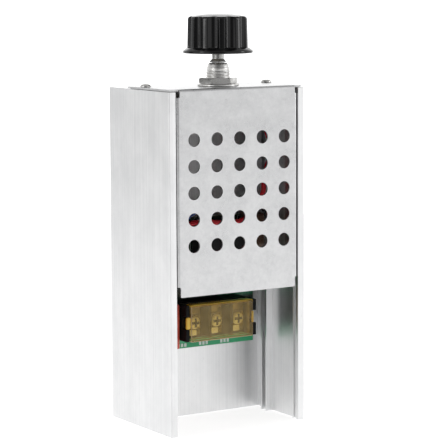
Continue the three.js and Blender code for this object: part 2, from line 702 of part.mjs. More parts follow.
function buildTerminalPoles() {
  const screw = facingFront(panScrew(3.2, 2.1, 1.7, 6.5));
  for (let i = 0; i < POLES; i += 1) {
    const x = poleX(i);
    const plate = box(x - 4.6, x + 4.6, LUG_FRONT, LUG_BACK, BLOCK.bottom + 1.5, BLOCK.top - 1.5);
    const nutBoss = cylinderY(3.1, LUG_FRONT, LUG_BACK + 4, x, POLE_Z, SMALL);
    const pin = cylinderY(0.8, LUG_FRONT + 0.2, BOARD_BACK + 1, x, POLE_PIN_Z, 8);
    const bore = cylinderY(1.85, LUG_FRONT - 1, LUG_BACK + 5, x, POLE_Z, SMALL);
    addPiece(`terminal_lug_${i + 1}`, cut(join(plate, nutBoss, pin), bore), 'brass');

    const clampBack = LUG_FRONT - 0.1;
    const clampFront = clampBack - 1.1;
    const square = box(x - 4.1, x + 4.1, clampFront, clampBack, POLE_Z - 4.1, POLE_Z + 4.1);
    const clampHole = cylinderY(2.0, clampFront - 1, clampBack + 1, x, POLE_Z, SMALL);
    addPiece(`terminal_clamp_${i + 1}`, cut(square, clampHole), 'brass');

    addPiece(`terminal_screw_${i + 1}`, screw, 'nickel', [x, clampFront - 0.1, POLE_Z]);
  }
}

function buildTerminalShield() {
  const { half, bottom, top, front, thickness, skirt } = SHIELD;
  const y = back(front);
  const outer = box(-half, half, y, y + skirt, bottom, top);
  const hollow = box(
    -half + thickness, half - thickness, y + thickness, y + skirt + 1, bottom + thickness, top - thickness,
  );
  const clearance = GAP;
  const tabs = [-1, 1].map((side) => {
    const [x0, x1] = side < 0 ? [-BLOCK.half, -half + 0.5] : [half - 0.5, BLOCK.half];
    return box(x0, x1, y + 0.5, back(BLOCK.front + CLIP.depth) - clearance, CLIP.bottom + clearance,
      CLIP.top - clearance);
  });
  addPiece('terminal_shield', join(cut(outer, hollow), ...tabs), 'amber');
}

// ---------------------------------------------------------------------------------------------
// Insulated leads from the potentiometer's lugs to the board
// ---------------------------------------------------------------------------------------------

function buildWires() {
  const lugX = 19;
  const lugZ = WAFER.top - 2 * GAP;
  const fromLug = (index) => {
    const y = POT_Y + (index - 1) * LUG_SPACING;
    return [[lugX, y, lugZ], [lugX, y, lugZ - 4]];
  };
  const toPad = ([x, z]) => [[x, BOARD_FRONT - 4, z], [x, BOARD_FRONT - 2 * GAP, z]];
  const blue = [
    [15.5, -17, 150], [15.5, -17, 125], [12, -15, 113], [-6, -13.5, 112], [-15.5, -10.5, 108.5],
    [-17.8, -4, 101.5],
  ];
  const red = [
    [22.5, -11.2, 159], [29.5, -11, 149], [31.3, -11, 137], [27.8, -11.2, 125], [27.2, -11, 117.5],
    [22.6, -10.4, 108], [16, -9.4, 103.6], [4, -9, 102.9], [-5, -8.6, 103.8], [-13.2, -4.6, 103],
  ];
  const black = [
    [22.5, -4.6, 158], [23.5, -4, 148], [23.5, -4, 122], [18, -3.6, 113.5], [2, -3, 110.5],
    [-7.5, -1.2, 104.5],
  ];
  const thick = 1.3;
  const thin = 0.8;
  const lead = (lug, route, pad, radius, steps) =>
    wire([...fromLug(lug), ...route, ...toPad(pad)], radius, steps);
  addPiece('pot_wire_blue', lead(0, blue, WIRE_PADS.blue, thin, 26), 'blueWire');
  addPiece('pot_wire_red', lead(1, red, WIRE_PADS.red, thick, 34), 'redWire');
  addPiece('pot_wire_black', lead(2, black, WIRE_PADS.black, thin, 26), 'blackWire');
}

buildHousing();
buildFrontCover();
buildCoverScrews();
buildPotentiometer();
buildKnob();
buildBoard();
buildBoardParts();
buildTriac();
buildTerminalBody();
buildTerminalPoles();
buildTerminalShield();
buildWires();

export default regulator;
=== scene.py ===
"""The looks of a phase-control voltage regulator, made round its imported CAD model.

Shapes are worked out in millimetres, in the model's own frame: +Z up, the open front towards -Y.
"""

import json
import math
from collections import namedtuple

import bmesh
import bpy
import numpy as np
from mathutils import Matrix, Vector
from mathutils.geometry import delaunay_2d_cdt


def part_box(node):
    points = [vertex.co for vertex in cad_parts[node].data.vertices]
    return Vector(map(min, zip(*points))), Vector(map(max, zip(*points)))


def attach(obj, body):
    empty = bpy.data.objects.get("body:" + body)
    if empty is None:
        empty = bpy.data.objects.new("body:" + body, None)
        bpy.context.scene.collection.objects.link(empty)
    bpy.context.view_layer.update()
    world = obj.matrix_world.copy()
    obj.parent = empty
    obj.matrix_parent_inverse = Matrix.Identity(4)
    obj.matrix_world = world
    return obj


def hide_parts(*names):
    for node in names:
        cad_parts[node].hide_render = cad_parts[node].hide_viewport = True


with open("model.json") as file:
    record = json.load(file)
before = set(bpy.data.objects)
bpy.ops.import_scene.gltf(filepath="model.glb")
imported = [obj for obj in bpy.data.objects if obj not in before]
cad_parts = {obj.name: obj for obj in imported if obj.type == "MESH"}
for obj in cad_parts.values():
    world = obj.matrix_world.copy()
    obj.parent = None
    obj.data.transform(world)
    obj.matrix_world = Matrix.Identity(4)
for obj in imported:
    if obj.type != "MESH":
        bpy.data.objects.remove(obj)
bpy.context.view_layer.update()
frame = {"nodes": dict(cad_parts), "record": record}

MM = 0.001
BODY_OF = {node: body for body, nodes in frame["record"]["behaviour"]["bodies"].items() for node in nodes}
SLOT_OF = {part["node"]: part["material_slot"] for part in frame["record"]["subparts"]}
THREE = (1, 2, 3)            # the poles, and the board's screws and stand-offs, are numbered so

# Camera, floor and lights

CAMERA_PLACE = (-535.3, -869.4, 228.9)
CAMERA_LENS = 160.72
CAMERA_YAW = -32.108
CAMERA_PITCH = -7.111
CAMERA_ROLL = -0.265
FLOOR_RADIUS = 900
FLOOR_GAP = 0.2              # between the floor and the housing's foot
SOFTBOX_AIM = (0, 0, 100)
SOFTBOXES = (                # name, place, width, height, and power in watts
    ("key", (-1500, -100, 700), 350, 1100, 4),
    ("fill", (1400, -900, 600), 300, 1100, 4),
)
TENT_LIGHT = 0.86
TENT_PANELS = (              # where each lies, the cosines between which it fades in, and what it adds
    ((-0.53, -0.84, 0.05), 0.8, 0.97, -0.7),
    ((0.0, 0.0, 1.0), 0.2, 0.65, -0.42),
    ((0.53, 0.84, 0.1), 0.8, 0.95, 0.7),
    ((-0.74, 0.66, -0.1), 0.965, 0.99, -0.75),
)


def add_object(name, data):
    made = bpy.data.objects.new(name, data)
    bpy.context.scene.collection.objects.link(made)
    return made


def add_camera():
    camera = add_object("camera", bpy.data.cameras.new("camera"))
    bpy.context.scene.camera = camera
    camera.data.sensor_width = 36
    camera.data.lens = CAMERA_LENS
    camera.data.clip_start = 0.05
    camera.data.clip_end = 100
    aim = Matrix.Rotation(math.radians(CAMERA_YAW), 4, "Z")
    aim = aim @ Matrix.Rotation(math.radians(90 + CAMERA_PITCH), 4, "X")
    aim = aim @ Matrix.Rotation(math.radians(CAMERA_ROLL), 4, "Z")
    camera.matrix_world = Matrix.Translation(Vector(CAMERA_PLACE) * MM) @ aim


def add_softbox(name, place, width, height, power):
    """A soft rectangular light, aimed at the middle of the object."""
    light = bpy.data.lights.new(name, "AREA")
    light.shape = "RECTANGLE"
    light.size = width * MM
    light.size_y = height * MM
    light.energy = power
    lamp = add_object(name, light)
    lamp.location = Vector(place) * MM
    aim = Vector(SOFTBOX_AIM) * MM - lamp.location
    lamp.rotation_euler = aim.to_track_quat("-Z", "Y").to_euler()


def connect(tree, socket, value):
    """Links a socket to a node's output, or sets it to a plain value."""
    if isinstance(value, bpy.types.NodeSocket):
        tree.links.new(value, socket)
    else:
        socket.default_value = value


def combined(tree, operation, first, second):
    """The output of a Math node."""
    made = tree.nodes.new("ShaderNodeMath")
    made.operation = operation
    connect(tree, made.inputs[0], first)
    connect(tree, made.inputs[1], second)
    return made.outputs[0]


def add_tent():
    """A white light tent. Its opening, where the photographer stands, and its roof are darker."""
    world = bpy.data.worlds.new("studio")
    bpy.context.scene.world = world
    world.use_nodes = True
    tree = world.node_tree
    heading = tree.nodes.new("ShaderNodeTexCoord").outputs["Generated"]
    level = TENT_LIGHT
    for aim, start, end, change in TENT_PANELS:
        towards = tree.nodes.new("ShaderNodeVectorMath")
        towards.operation = "DOT_PRODUCT"
        connect(tree, towards.inputs[0], heading)
        connect(tree, towards.inputs[1], aim)
        eased = tree.nodes.new("ShaderNodeMapRange")
        eased.interpolation_type = "SMOOTHSTEP"
        for socket, value in zip(eased.inputs, (towards.outputs["Value"], start, end, 0, change)):
            connect(tree, socket, value)
        level = combined(tree, "ADD", level, eased.outputs[0])
    seen = tree.nodes.new("ShaderNodeLightPath").outputs["Is Camera Ray"]
    background = tree.nodes["Background"]
    background.inputs["Color"].default_value = (1, 1, 1, 1)
    connect(tree, background.inputs["Strength"], combined(tree, "MAXIMUM", level, seen))


def add_stage():
    bpy.context.scene.view_settings.view_transform = "Standard"
    add_tent()
    disc = bmesh.new()
    bmesh.ops.create_circle(disc, cap_ends=True, segments=96, radius=FLOOR_RADIUS * MM)
    mesh = bpy.data.meshes.new("floor")
    disc.to_mesh(mesh)
    disc.free()
    mesh.materials.append(pale_floor())
    floor = add_object("floor", mesh)
    floor.location.z = -FLOOR_GAP * MM
    for softbox in SOFTBOXES:
        add_softbox(*softbox)


# Finishes


class Finish:
    """A Principled material and the pattern nodes that feed it."""

    def __init__(self, name, colour, roughness, **sockets):
        self.material = bpy.data.materials.new(name)
        self.material.use_nodes = True
        self.tree = self.material.node_tree
        self.shader = self.tree.nodes["Principled BSDF"]
        self.shader.inputs["Base Color"].default_value = (*colour, 1)
        self.shader.inputs["Roughness"].default_value = roughness
        for socket, value in sockets.items():
            self.shader.inputs[socket.replace("_", " ")].default_value = value

    def node(self, kind, inputs):
        made = self.tree.nodes.new(kind)
        for socket, value in inputs.items():
            connect(self.tree, made.inputs[socket], value)
        return made

    def place(self, stretch=1):
        """The piece's own coordinates in millimetres, times a stretch: one number, or one for each axis."""
        coordinates = self.node("ShaderNodeTexCoord", {}).outputs["Object"]
        scale = [s / MM for s in np.broadcast_to(stretch, 3).tolist()]
        return self.node("ShaderNodeMapping", {"Vector": coordinates, "Scale": scale}).outputs["Vector"]

    def noise(self, stretch, detail=3.0, roughness=0.55):
        inputs = {"Vector": self.place(stretch), "Scale": 1.0, "Detail": detail, "Roughness": roughness}
        return self.node("ShaderNodeTexNoise", inputs).outputs["Fac"]

    def between(self, value, low, high, start=0.3, end=0.7):
        """The value spread from low to high as it goes from start to end."""
        inputs = {"Value": value, "From Min": start, "From Max": end, "To Min": low, "To Max": high}
        return self.node("ShaderNodeMapRange", inputs).outputs["Result"]

    def math(self, operation, first, second):
        return combined(self.tree, operation, first, second)

    def total(self, *terms):
        """The sum of some patterns, each given with its weight."""
        weighted = [self.math("MULTIPLY", value, weight) for value, weight in terms]
        out = weighted[0]
        for term in weighted[1:]:
            out = self.math("ADD", out, term)
        return out

    def mix(self, factor, first, second):
        """A colour between two others."""
        made = self.tree.nodes.new("ShaderNodeMix")
        made.data_type = "RGBA"
        for socket, value in ((0, factor), (6, first), (7, second)):
            connect(self.tree, made.inputs[socket], (*value, 1) if isinstance(value, tuple) else value)
        return made.outputs[2]

    def feed(self, socket, value):
        self.tree.links.new(value, self.shader.inputs[socket])

    def paint(self, pattern, low, high, start=0.3, end=0.7):
        """Colours the surface from low to high as the pattern goes from start to end."""
        self.feed("Base Color", self.mix(self.between(pattern, 0, 1, start, end), low, high))

    def gloss(self, pattern, low, high):
        """Makes the surface rougher, from low to high, with the pattern."""
        self.feed("Roughness", self.between(pattern, low, high))

    def bump(self, height, depth, strength):
        """Surface relief of a depth in millimetres."""
        inputs = {"Strength": strength, "Distance": depth * MM, "Height": height}
        self.feed("Normal", self.node("ShaderNodeBump", inputs).outputs["Normal"])


def pale_floor():
    finish = Finish("pale_floor", (0.5, 0.5, 0.5), 0.7, Specular_IOR_Level=0.1,
                    Emission_Color=(1, 1, 1, 1), Emission_Strength=0.79)
    finish.paint(finish.noise(0.004, 2), (0.49, 0.49, 0.49), (0.51, 0.51, 0.51))
    return finish.material


def aluminium():
    """Mill-finish extrusion: lines along its length, cloudy patches and a few scuffs."""
    finish = Finish("extruded_aluminium", (0.8, 0.8, 0.81), 0.4, Metallic=1.0)
    lines = finish.noise((3.0, 3.0, 0.01), 3)
    bands = finish.noise((0.3, 0.3, 0.004), 2)
    streaks = finish.noise((0.9, 0.9, 0.005), 2)
    clouds = finish.noise((0.07, 0.07, 0.05), 5, 0.65)
    tone = finish.between(finish.total((bands, 0.2), (streaks, 0.35), (clouds, 0.45)), 0, 1, 0.4, 0.6)
    colour = finish.mix(tone, (0.78, 0.785, 0.79), (0.89, 0.892, 0.895))
    scuffs = finish.between(finish.noise((0.5, 0.5, 0.16), 6, 0.75), 0, 0.7, 0.62, 0.74)
    finish.feed("Base Color", finish.mix(scuffs, colour, (0.66, 0.66, 0.67)))
    drawn, cloudy = finish.between(streaks, 0.33, 0.43), finish.between(clouds, -0.02, 0.06)
    finish.feed("Roughness", finish.math("ADD", drawn, cloudy))
    finish.bump(finish.total((lines, 0.4), (streaks, 1)), 0.02, 0.5)
    return finish.material


def sheet():
    """Rolled sheet with a satin skin, mottled all over and marked in patches by handling."""
    finish = Finish("satin_sheet", (0.66, 0.66, 0.67), 0.3, Metallic=1.0)
    grain = finish.noise((0.5, 2.2, 2.2), 4, 0.6)
    mottle = finish.noise(0.45, 5, 0.7)
    clouds = finish.noise((0.06, 0.06, 0.07), 4, 0.6)
    tone = finish.between(finish.total((mottle, 0.5), (clouds, 0.5)), 0, 1, 0.38, 0.6)
    colour = finish.mix(tone, (0.6, 0.603, 0.61), (0.7, 0.702, 0.706))
    marks = finish.between(finish.noise((0.3, 0.3, 0.35), 6, 0.8), 0, 0.5, 0.62, 0.78)
    finish.feed("Base Color", finish.mix(marks, colour, (0.54, 0.54, 0.545)))
    rolled, cloudy = finish.between(grain, 0.26, 0.34), finish.between(clouds, -0.03, 0.05)
    finish.feed("Roughness", finish.math("ADD", rolled, cloudy))
    finish.bump(grain, 0.008, 0.4)
    return finish.material


def plated(name, bright, dull, roughness, metallic=1.0):
    """Plated metal: bright, with duller mottling and fine tool marks round its turned faces."""
    finish = Finish(name, bright, roughness, Metallic=metallic)
    mottle = finish.noise(0.4, 3)
    finish.paint(mottle, bright, dull, 0.4, 0.66)
    finish.gloss(mottle, roughness - 0.06, roughness + 0.1)
    finish.bump(finish.noise((0.4, 0.4, 9.0), 2), 0.004, 0.3)
    return finish.material


def moulded(name, colour, worn, roughness, grain, specular=0.5):
    """Moulded plastic: a fine grain, and a slightly paler bloom in patches."""
    finish = Finish(name, colour, roughness, Specular_IOR_Level=specular)
    bloom = finish.noise(0.12, 4, 0.6)
    finish.paint(bloom, colour, worn, 0.4, 0.7)
    finish.gloss(bloom, roughness - 0.04, roughness + 0.08)
    finish.bump(finish.noise(4.0, 2), grain, 0.6)
    return finish.material


def bakelite():
    """Polished black phenolic, with the slight waves of a moulded surface and a little dust."""
    finish = Finish("black_bakelite", (0.004, 0.004, 0.0045), 0.14, Specular_IOR_Level=0.4)
    waves = finish.noise((0.25, 0.25, 0.2), 2, 0.4)
    dust = finish.between(finish.noise(2.6, 4, 0.7), 0, 1, 0.74, 0.84)
    finish.feed("Base Color", finish.mix(dust, (0.003, 0.003, 0.0034), (0.014, 0.014, 0.015)))
    wavy, dusty = finish.between(waves, 0.1, 0.17), finish.total((dust, 0.08))
    finish.feed("Roughness", finish.math("ADD", wavy, dusty))
    finish.bump(waves, 0.05, 0.4)
    return finish.material


def laminate():
    """Phenolic paper laminate, with fibres showing through its varnish."""
    finish = Finish("phenolic_laminate", (0.16, 0.07, 0.025), 0.45)
    fibres = finish.noise((0.3, 3.5, 3.5), 5, 0.7)
    finish.paint(fibres, (0.12, 0.05, 0.018), (0.26, 0.13, 0.05))
    finish.gloss(fibres, 0.35, 0.6)
    finish.bump(fibres, 0.02, 0.5)
    return finish.material


# Painted shade: the solder mask's colour where the bay lies in shadow.
MASK_SHADE = (0.008, 0.022, 0.014)


def with_painted_shade(finish, own_colour):
    """The mask's own colour with shade painted over it, except along its lower edge and right of the
    terminals' top.
    """
    x, _, z = finish.node("ShaderNodeSeparateXYZ", {"Vector": finish.place()}).outputs
    beside_top = finish.math("MAXIMUM", finish.between(z, 1, 0, 61, 65), finish.between(z, 0, 1, 72, 78))
    inside = finish.math("MAXIMUM", beside_top, finish.between(x, 1, 0, 9, 15))
    share = finish.math("MINIMUM", inside, finish.between(z, 0, 1, 40.5, 43.5))
    return finish.mix(share, own_colour, MASK_SHADE)


def solder_mask():
    """Green solder mask: a gloss coat over the weave of the board."""
    finish = Finish("solder_mask", (0.04, 0.36, 0.16), 0.35, Specular_IOR_Level=0.35)
    weave = finish.node("ShaderNodeTexVoronoi", {"Vector": finish.place(1.4), "Scale": 1.0})
    clouds = finish.noise(0.16)
    own_colour = finish.mix(finish.between(clouds, 0, 1), (0.035, 0.32, 0.14), (0.055, 0.42, 0.19))
    # The mask's own colour, with shade painted over the shadowed part of the bay.
    finish.feed("Base Color", with_painted_shade(finish, own_colour))
    finish.gloss(clouds, 0.32, 0.45)
    finish.bump(weave.outputs["Distance"], 0.01, 0.4)
    return finish.material


def masked_copper():
    """Solder mask over copper, a little lighter and yellower than over bare board."""
    finish = Finish("masked_copper", (0.06, 0.4, 0.2), 0.26)
    clouds = finish.noise(0.3)
    own_colour = finish.mix(finish.between(clouds, 0, 1), (0.05, 0.4, 0.19), (0.08, 0.5, 0.25))
    # The mask's own colour, with shade painted over the shadowed part of the bay.
    finish.feed("Base Color", with_painted_shade(finish, own_colour))
    finish.gloss(clouds, 0.2, 0.34)
    finish.bump(clouds, 0.02, 0.4)
    return finish.material


def dipped(name, colour, deep):
    """Dipped epoxy on a capacitor: glossy, uneven in thickness, darker where it has run."""
    finish = Finish(name, colour, 0.3)
    skin_waves = finish.noise(1.1)
    finish.paint(finish.noise((0.14, 0.14, 0.08), 3, 0.5), deep, colour)
    finish.gloss(skin_waves, 0.22, 0.42)
    finish.bump(skin_waves, 0.06, 0.5)
    return finish.material


BAND_HALF = 0.035            # as a share of the resistor's length
RESISTOR_BANDS = (
    (0.26, (0.25, 0.09, 0.02)),
    (0.4, (0.01, 0.01, 0.01)),
    (0.54, (0.6, 0.25, 0.02)),
    (0.76, (0.45, 0.3, 0.06)),
)


def banded_resistor():
    """A brown film resistor with four colour bands along its length."""
    finish = Finish("resistor_body", (0.3, 0.17, 0.09), 0.4)
    lacquer = finish.noise(1.5)
    colour = finish.mix(finish.between(lacquer, 0, 1), (0.27, 0.15, 0.08), (0.36, 0.21, 0.12))
    along = finish.node("ShaderNodeUVMap", {}).outputs["UV"]
    along = finish.node("ShaderNodeSeparateXYZ", {"Vector": along}).outputs["X"]
    for centre, paint in RESISTOR_BANDS:
        near = finish.math("COMPARE", along, centre)
        near.node.inputs[2].default_value = BAND_HALF
        colour = finish.mix(near, colour, paint)
    finish.feed("Base Color", colour)
    finish.gloss(lacquer, 0.3, 0.5)
    finish.bump(lacquer, 0.03, 0.5)
    return finish.material


def amber(name, colour, deep, hiding):
    """Clear amber polycarbonate. Most light passes with a tint, and hiding is the share that doesn't."""
    finish = Finish(name, colour, 0.1, Specular_IOR_Level=0.6)
    haze = finish.noise(0.2, 4, 0.6)
    finish.paint(haze, deep, colour)
    finish.gloss(haze, 0.06, 0.16)
    clear = finish.node("ShaderNodeBsdfTransparent", {"Color": (1.0, 0.94, 0.74, 1)})
    facing = finish.node("ShaderNodeLayerWeight", {"Blend": 0.3}).outputs["Facing"]
    hazy = finish.between(haze, hiding - 0.03, hiding + 0.03)
    share = finish.math("ADD", finish.total((facing, 0.2)), hazy)
    blend = finish.node("ShaderNodeMixShader", {0: share, 1: clear.outputs[0], 2: finish.shader.outputs[0]})
    connect(finish.tree, finish.tree.nodes["Material Output"].inputs["Surface"], blend.outputs[0])
    return finish.material


def bare_laminate():
    """The sawn edge of the board, where its glass cloth shows."""
    finish = Finish("board_edge", (0.35, 0.42, 0.18), 0.6)
    plies = finish.noise((0.4, 9.0, 0.4), 3)
    finish.paint(plies, (0.28, 0.36, 0.13), (0.5, 0.55, 0.3))
    finish.bump(plies, 0.03, 0.6)
    return finish.material


def printed_white():
    """Screen-printed ink, thin and slightly broken at its edges."""
    finish = Finish("board_ink", (0.75, 0.78, 0.76), 0.55)
    wear = finish.noise(2.0, 4, 0.7)
    finish.paint(wear, (0.82, 0.85, 0.83), (0.4, 0.6, 0.5), 0.3, 0.75)
    finish.gloss(wear, 0.45, 0.65)
    return finish.material


def make_finishes():
    """One finish for each material slot of the record, and those that only some pieces have."""
    return {
        "aluminium": aluminium(),
        "sheet": sheet(),
        "nickel": plated("nickel_plate", (0.84, 0.835, 0.82), (0.62, 0.61, 0.59), 0.16),
        "satin_nickel": plated("satin_nickel", (0.88, 0.875, 0.86), (0.7, 0.69, 0.67), 0.4),
        # A darker plate for the shaft: painted shade from the knob above it.
        "shaded_plate": plated("shaded_plate", (0.42, 0.42, 0.41), (0.24, 0.24, 0.23), 0.3),
        "steel": plated("zinc_steel", (0.6, 0.6, 0.61), (0.42, 0.42, 0.42), 0.3),
        "spring_steel": plated("spring_steel", (0.8, 0.8, 0.79), (0.5, 0.5, 0.5), 0.55),
        "brass": plated("bare_brass", (0.5, 0.38, 0.16), (0.2, 0.14, 0.06), 0.36),
        "aged_brass": plated("aged_brass", (0.3, 0.22, 0.09), (0.12, 0.09, 0.04), 0.42),
        "yellow_plate": plated("yellow_plate", (1.0, 0.95, 0.68), (0.86, 0.76, 0.46), 0.34, 0.25),
        "bakelite": bakelite(),
        "phenolic": laminate(),
        "block_black": moulded("black_nylon", (0.006, 0.006, 0.006), (0.012, 0.012, 0.013), 0.6, 0.02,
                               0.12),
        "amber": amber("amber_polycarbonate", (0.68, 0.53, 0.26), (0.57, 0.43, 0.2), 0.15),
        # Two copies of the same plastic with light painted in: a bright, opaque glow for the top rim and
        # the clips, and a duller, more opaque shade for the other rims.
        "amber_lit_edge": amber("amber_lit_edge", (0.95, 0.66, 0.1), (0.85, 0.55, 0.07), 0.68),
        "amber_shaded_rim": amber("amber_shaded_rim", (0.62, 0.45, 0.25), (0.52, 0.37, 0.19), 0.6),
        "board": solder_mask(),
        "board_edge": bare_laminate(),
        "board_ink": printed_white(),
        "masked_copper": masked_copper(),
        "red_film": dipped("red_epoxy", (0.62, 0.1, 0.075), (0.5, 0.07, 0.05)),
        "brown_film": dipped("brown_epoxy", (0.17, 0.1, 0.065), (0.1, 0.06, 0.04)),
        "resistor": banded_resistor(),
        "epoxy": moulded("black_epoxy", (0.015, 0.015, 0.017), (0.03, 0.03, 0.032), 0.5, 0.03),
        "pad": moulded("grey_silicone", (0.32, 0.36, 0.4), (0.4, 0.43, 0.46), 0.7, 0.03, 0.3),
        "diode_glass": dipped("blue_coating", (0.06, 0.16, 0.4), (0.03, 0.08, 0.25)),
        "red_wire": moulded("red_pvc", (0.95, 0.02, 0.04), (0.98, 0.06, 0.08), 0.35, 0.01),
        "black_wire": moulded("black_pvc", (0.01, 0.01, 0.01), (0.025, 0.025, 0.025), 0.4, 0.01),
        "blue_wire": moulded("blue_pvc", (0.02, 0.06, 0.3), (0.04, 0.09, 0.36), 0.35, 0.01),
    }


# Shapes, each a pair of vertices and faces in millimetres


def box_of(node):
    """Lowest and highest corner of a CAD node."""
    low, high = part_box(node)
    return np.array(low) / MM, np.array(high) / MM


def middle_of(node):
    low, high = box_of(node)
    return (low + high) / 2


def rounded(points, radius, closed=True, steps=3):
    """An outline with its corners eased to a radius, or to less where the edges beside them are short."""
    points = [np.array(p, float) for p in points]
    out = []
    for i, corner in enumerate(points):
        if not closed and i in (0, len(points) - 1):
            out.append(corner)
            continue
        before = points[i - 1] - corner
        after = points[(i + 1) % len(points)] - corner
        shorter = min(np.linalg.norm(before), np.linalg.norm(after))
        before = before / np.linalg.norm(before)
        after = after / np.linalg.norm(after)
        turn = math.acos(np.clip(-before @ after, -1, 1))
        if turn < math.radians(8):
            out.append(corner)
            continue
        reach = min(radius * math.tan(turn / 2), 0.45 * shorter)
        start = corner + before * reach
        end = corner + after * reach
        for t in np.linspace(0, 1, steps + 1):
            out.append((1 - t) ** 2 * start + 2 * t * (1 - t) * corner + t * t * end)
    return np.array(out)


def rectangle(x0, x1, y0, y1, radius=0.0, steps=3):
    corners = [(x0, y0), (x1, y0), (x1, y1), (x0, y1)]
    return rounded(corners, radius, steps=steps) if radius else np.array(corners, float)


def angles(columns):
    """Directions spread evenly round a ring, in radians."""
    return np.linspace(0, 2 * np.pi, columns, endpoint=False)


def circle(radius, centre=(0, 0), columns=48):
    angle = angles(columns)
    return np.stack([centre[0] + radius * np.cos(angle), centre[1] + radius * np.sin(angle)], axis=1)


def skin(rings, hollow=False):
    """Faces between rings of points taken in turn. A hollow skin meets its first ring again."""
    rings = np.array(rings)
    count, columns = rings.shape[:2]
    index = np.arange(count * columns).reshape(count, columns)
    faces = []
    for i in range(count if hollow else count - 1):
        low, high = index[i], index[(i + 1) % count]
        for j in range(columns):
            k = (j + 1) % columns
            faces.append((low[j], low[k], high[k], high[j]))
    if not hollow:
        faces.append(tuple(index[0][::-1]))
        faces.append(tuple(index[-1]))
    return rings.reshape(-1, 3), faces


def ring_at(outline, z):
    """A flat outline as a ring of points at a height."""
    return np.column_stack([outline, np.full(len(outline), float(z))])


def turned(profile, columns=72, hollow=False, phase=0.0):
    """A profile of (radius, height) turned about Z. Either may be an array that varies round the ring."""
    angle = phase + angles(columns)
    rings = []
    for radius, height in profile:
        rings.append(np.stack([radius * np.cos(angle), radius * np.sin(angle), height + 0 * angle], axis=1))
    return skin(rings, hollow)


def lathed(points, radius, columns=72, hollow=False):
    """A turned shape with the corners of its profile eased."""
    return turned(rounded(points, radius, closed=hollow), columns, hollow)


def inset(outline, distance):
    """The outline moved inward. It runs counter-clockwise."""
    before = outline - np.roll(outline, 1, axis=0)
    after = np.roll(outline, -1, axis=0) - outline
    before = before / np.linalg.norm(before, axis=1)[:, None]
    after = after / np.linalg.norm(after, axis=1)[:, None]
    inward = np.stack([-(before + after)[:, 1], (before + after)[:, 0]], axis=1)
    spread = 1 + np.sum(before * after, axis=1)
    return outline + distance * inward / np.maximum(spread, 0.3)[:, None]


def prism(outline, z0, z1, edge=0.15):
    """An outline pulled along Z, with its end edges broken."""
    small = inset(outline, edge)
    ends = (small, z0), (outline, z0 + edge), (outline, z1 - edge), (small, z1)
    return skin([ring_at(loop, z) for loop, z in ends])


def within(point, loop):
    """Whether a point is inside a convex loop that runs counter-clockwise."""
    after = np.roll(loop, -1, axis=0) - loop
    there = point - loop
    return bool(np.all(after[:, 0] * there[:, 1] - after[:, 1] * there[:, 0] > 0))


def tiled(outline, holes, lines=()):
    """Triangles that fill an outline round its holes, with edges along the given lines."""
    points = []
    edges = []
    for loop in (outline, *holes):
        first = len(points)
        points.extend(Vector(p) for p in loop)
        edges.extend((first + i, first + (i + 1) % len(loop)) for i in range(len(loop)))
    for start, end in lines:
        edges.append((len(points), len(points) + 1))
        points.extend((Vector(start), Vector(end)))
    flat, _, faces, *_ = delaunay_2d_cdt(points, edges, [], 1, 1e-5)
    flat = np.array(flat)
    middles = [flat[list(face)].mean(axis=0) for face in faces]
    return flat, [tuple(face) for face, middle in zip(faces, middles)
                  if not any(within(middle, hole) for hole in holes)]


def rim_of(faces):
    """The directed edges that only one of the faces has."""
    edges = [pair for face in faces for pair in zip(face, face[1:] + face[:1])]
    known = set(edges)
    return [(a, b) for a, b in edges if (b, a) not in known]


def pierced(outline, holes, z0, z1):
    """A plate between two heights, with holes through it."""
    flat, faces = tiled(outline, holes)
    count = len(flat)
    solid = [tuple(reversed(face)) for face in faces]
    solid += [tuple(i + count for i in face) for face in faces]
    solid += [(a, b, b + count, a + count) for a, b in rim_of(faces)]
    return np.vstack([ring_at(flat, z0), ring_at(flat, z1)]), solid


def merged(*shapes):
    vertices = []
    faces = []
    for points, sides in shapes:
        first = len(vertices)
        vertices.extend(np.array(points).tolist())
        faces.extend(tuple(i + first for i in side) for side in sides)
    return np.array(vertices), faces


def moved(shape, x=0.0, y=0.0, z=0.0):
    return np.array(shape[0]) + (x, y, z), shape[1]


def facing_front(shape):
    """A shape made pointing up, turned to point towards -Y."""
    x, y, z = np.array(shape[0]).T
    return np.stack([x, -z, y], axis=1), shape[1]


def facing_back(shape):
    """A shape made pointing up, mirrored to point towards +Y."""
    x, y, z = np.array(shape[0]).T
    return np.stack([x, z, y], axis=1), shape[1]


def lying_along_x(shape):
    x, y, z = np.array(shape[0]).T
    return np.stack([z, x, y], axis=1), shape[1]


def soft_least(first, second, blend):
    """The lesser of two, with the change from one to the other eased."""
    return -blend * np.logaddexp(-first / blend, -second / blend)


def block(low, high, radius, bulge=0.0, cells=12):
    """A block with round edges, and broad faces that swell by bulge."""
    shape = bmesh.new()
    bmesh.ops.create_cube(shape, size=2)
    bmesh.ops.subdivide_edges(shape, edges=shape.edges[:], cuts=cells, use_grid_fill=True)
    low, high = np.array(low, float), np.array(high, float)
    swollen = (high - low) / 2 - bulge
    vertices = []
    for vertex in shape.verts:
        unit = np.array(vertex.co)
        eased = np.sin(unit * np.pi / 2) * 0.35 + unit * 0.65
        core = np.clip(eased * swollen, -(swollen - radius), swollen - radius)
        away = eased * swollen - core
        point = core + radius * away / max(np.linalg.norm(away), 1e-9)
        x, y, z = 1 - unit**2
        crown = np.array([y * z, x * z, x * y])
        vertices.append((low + high) / 2 + point + bulge * crown * np.sign(unit) * (np.abs(unit) > 0.999))
    faces = [tuple(v.index for v in face.verts) for face in shape.faces]
    shape.free()
    return np.array(vertices), faces


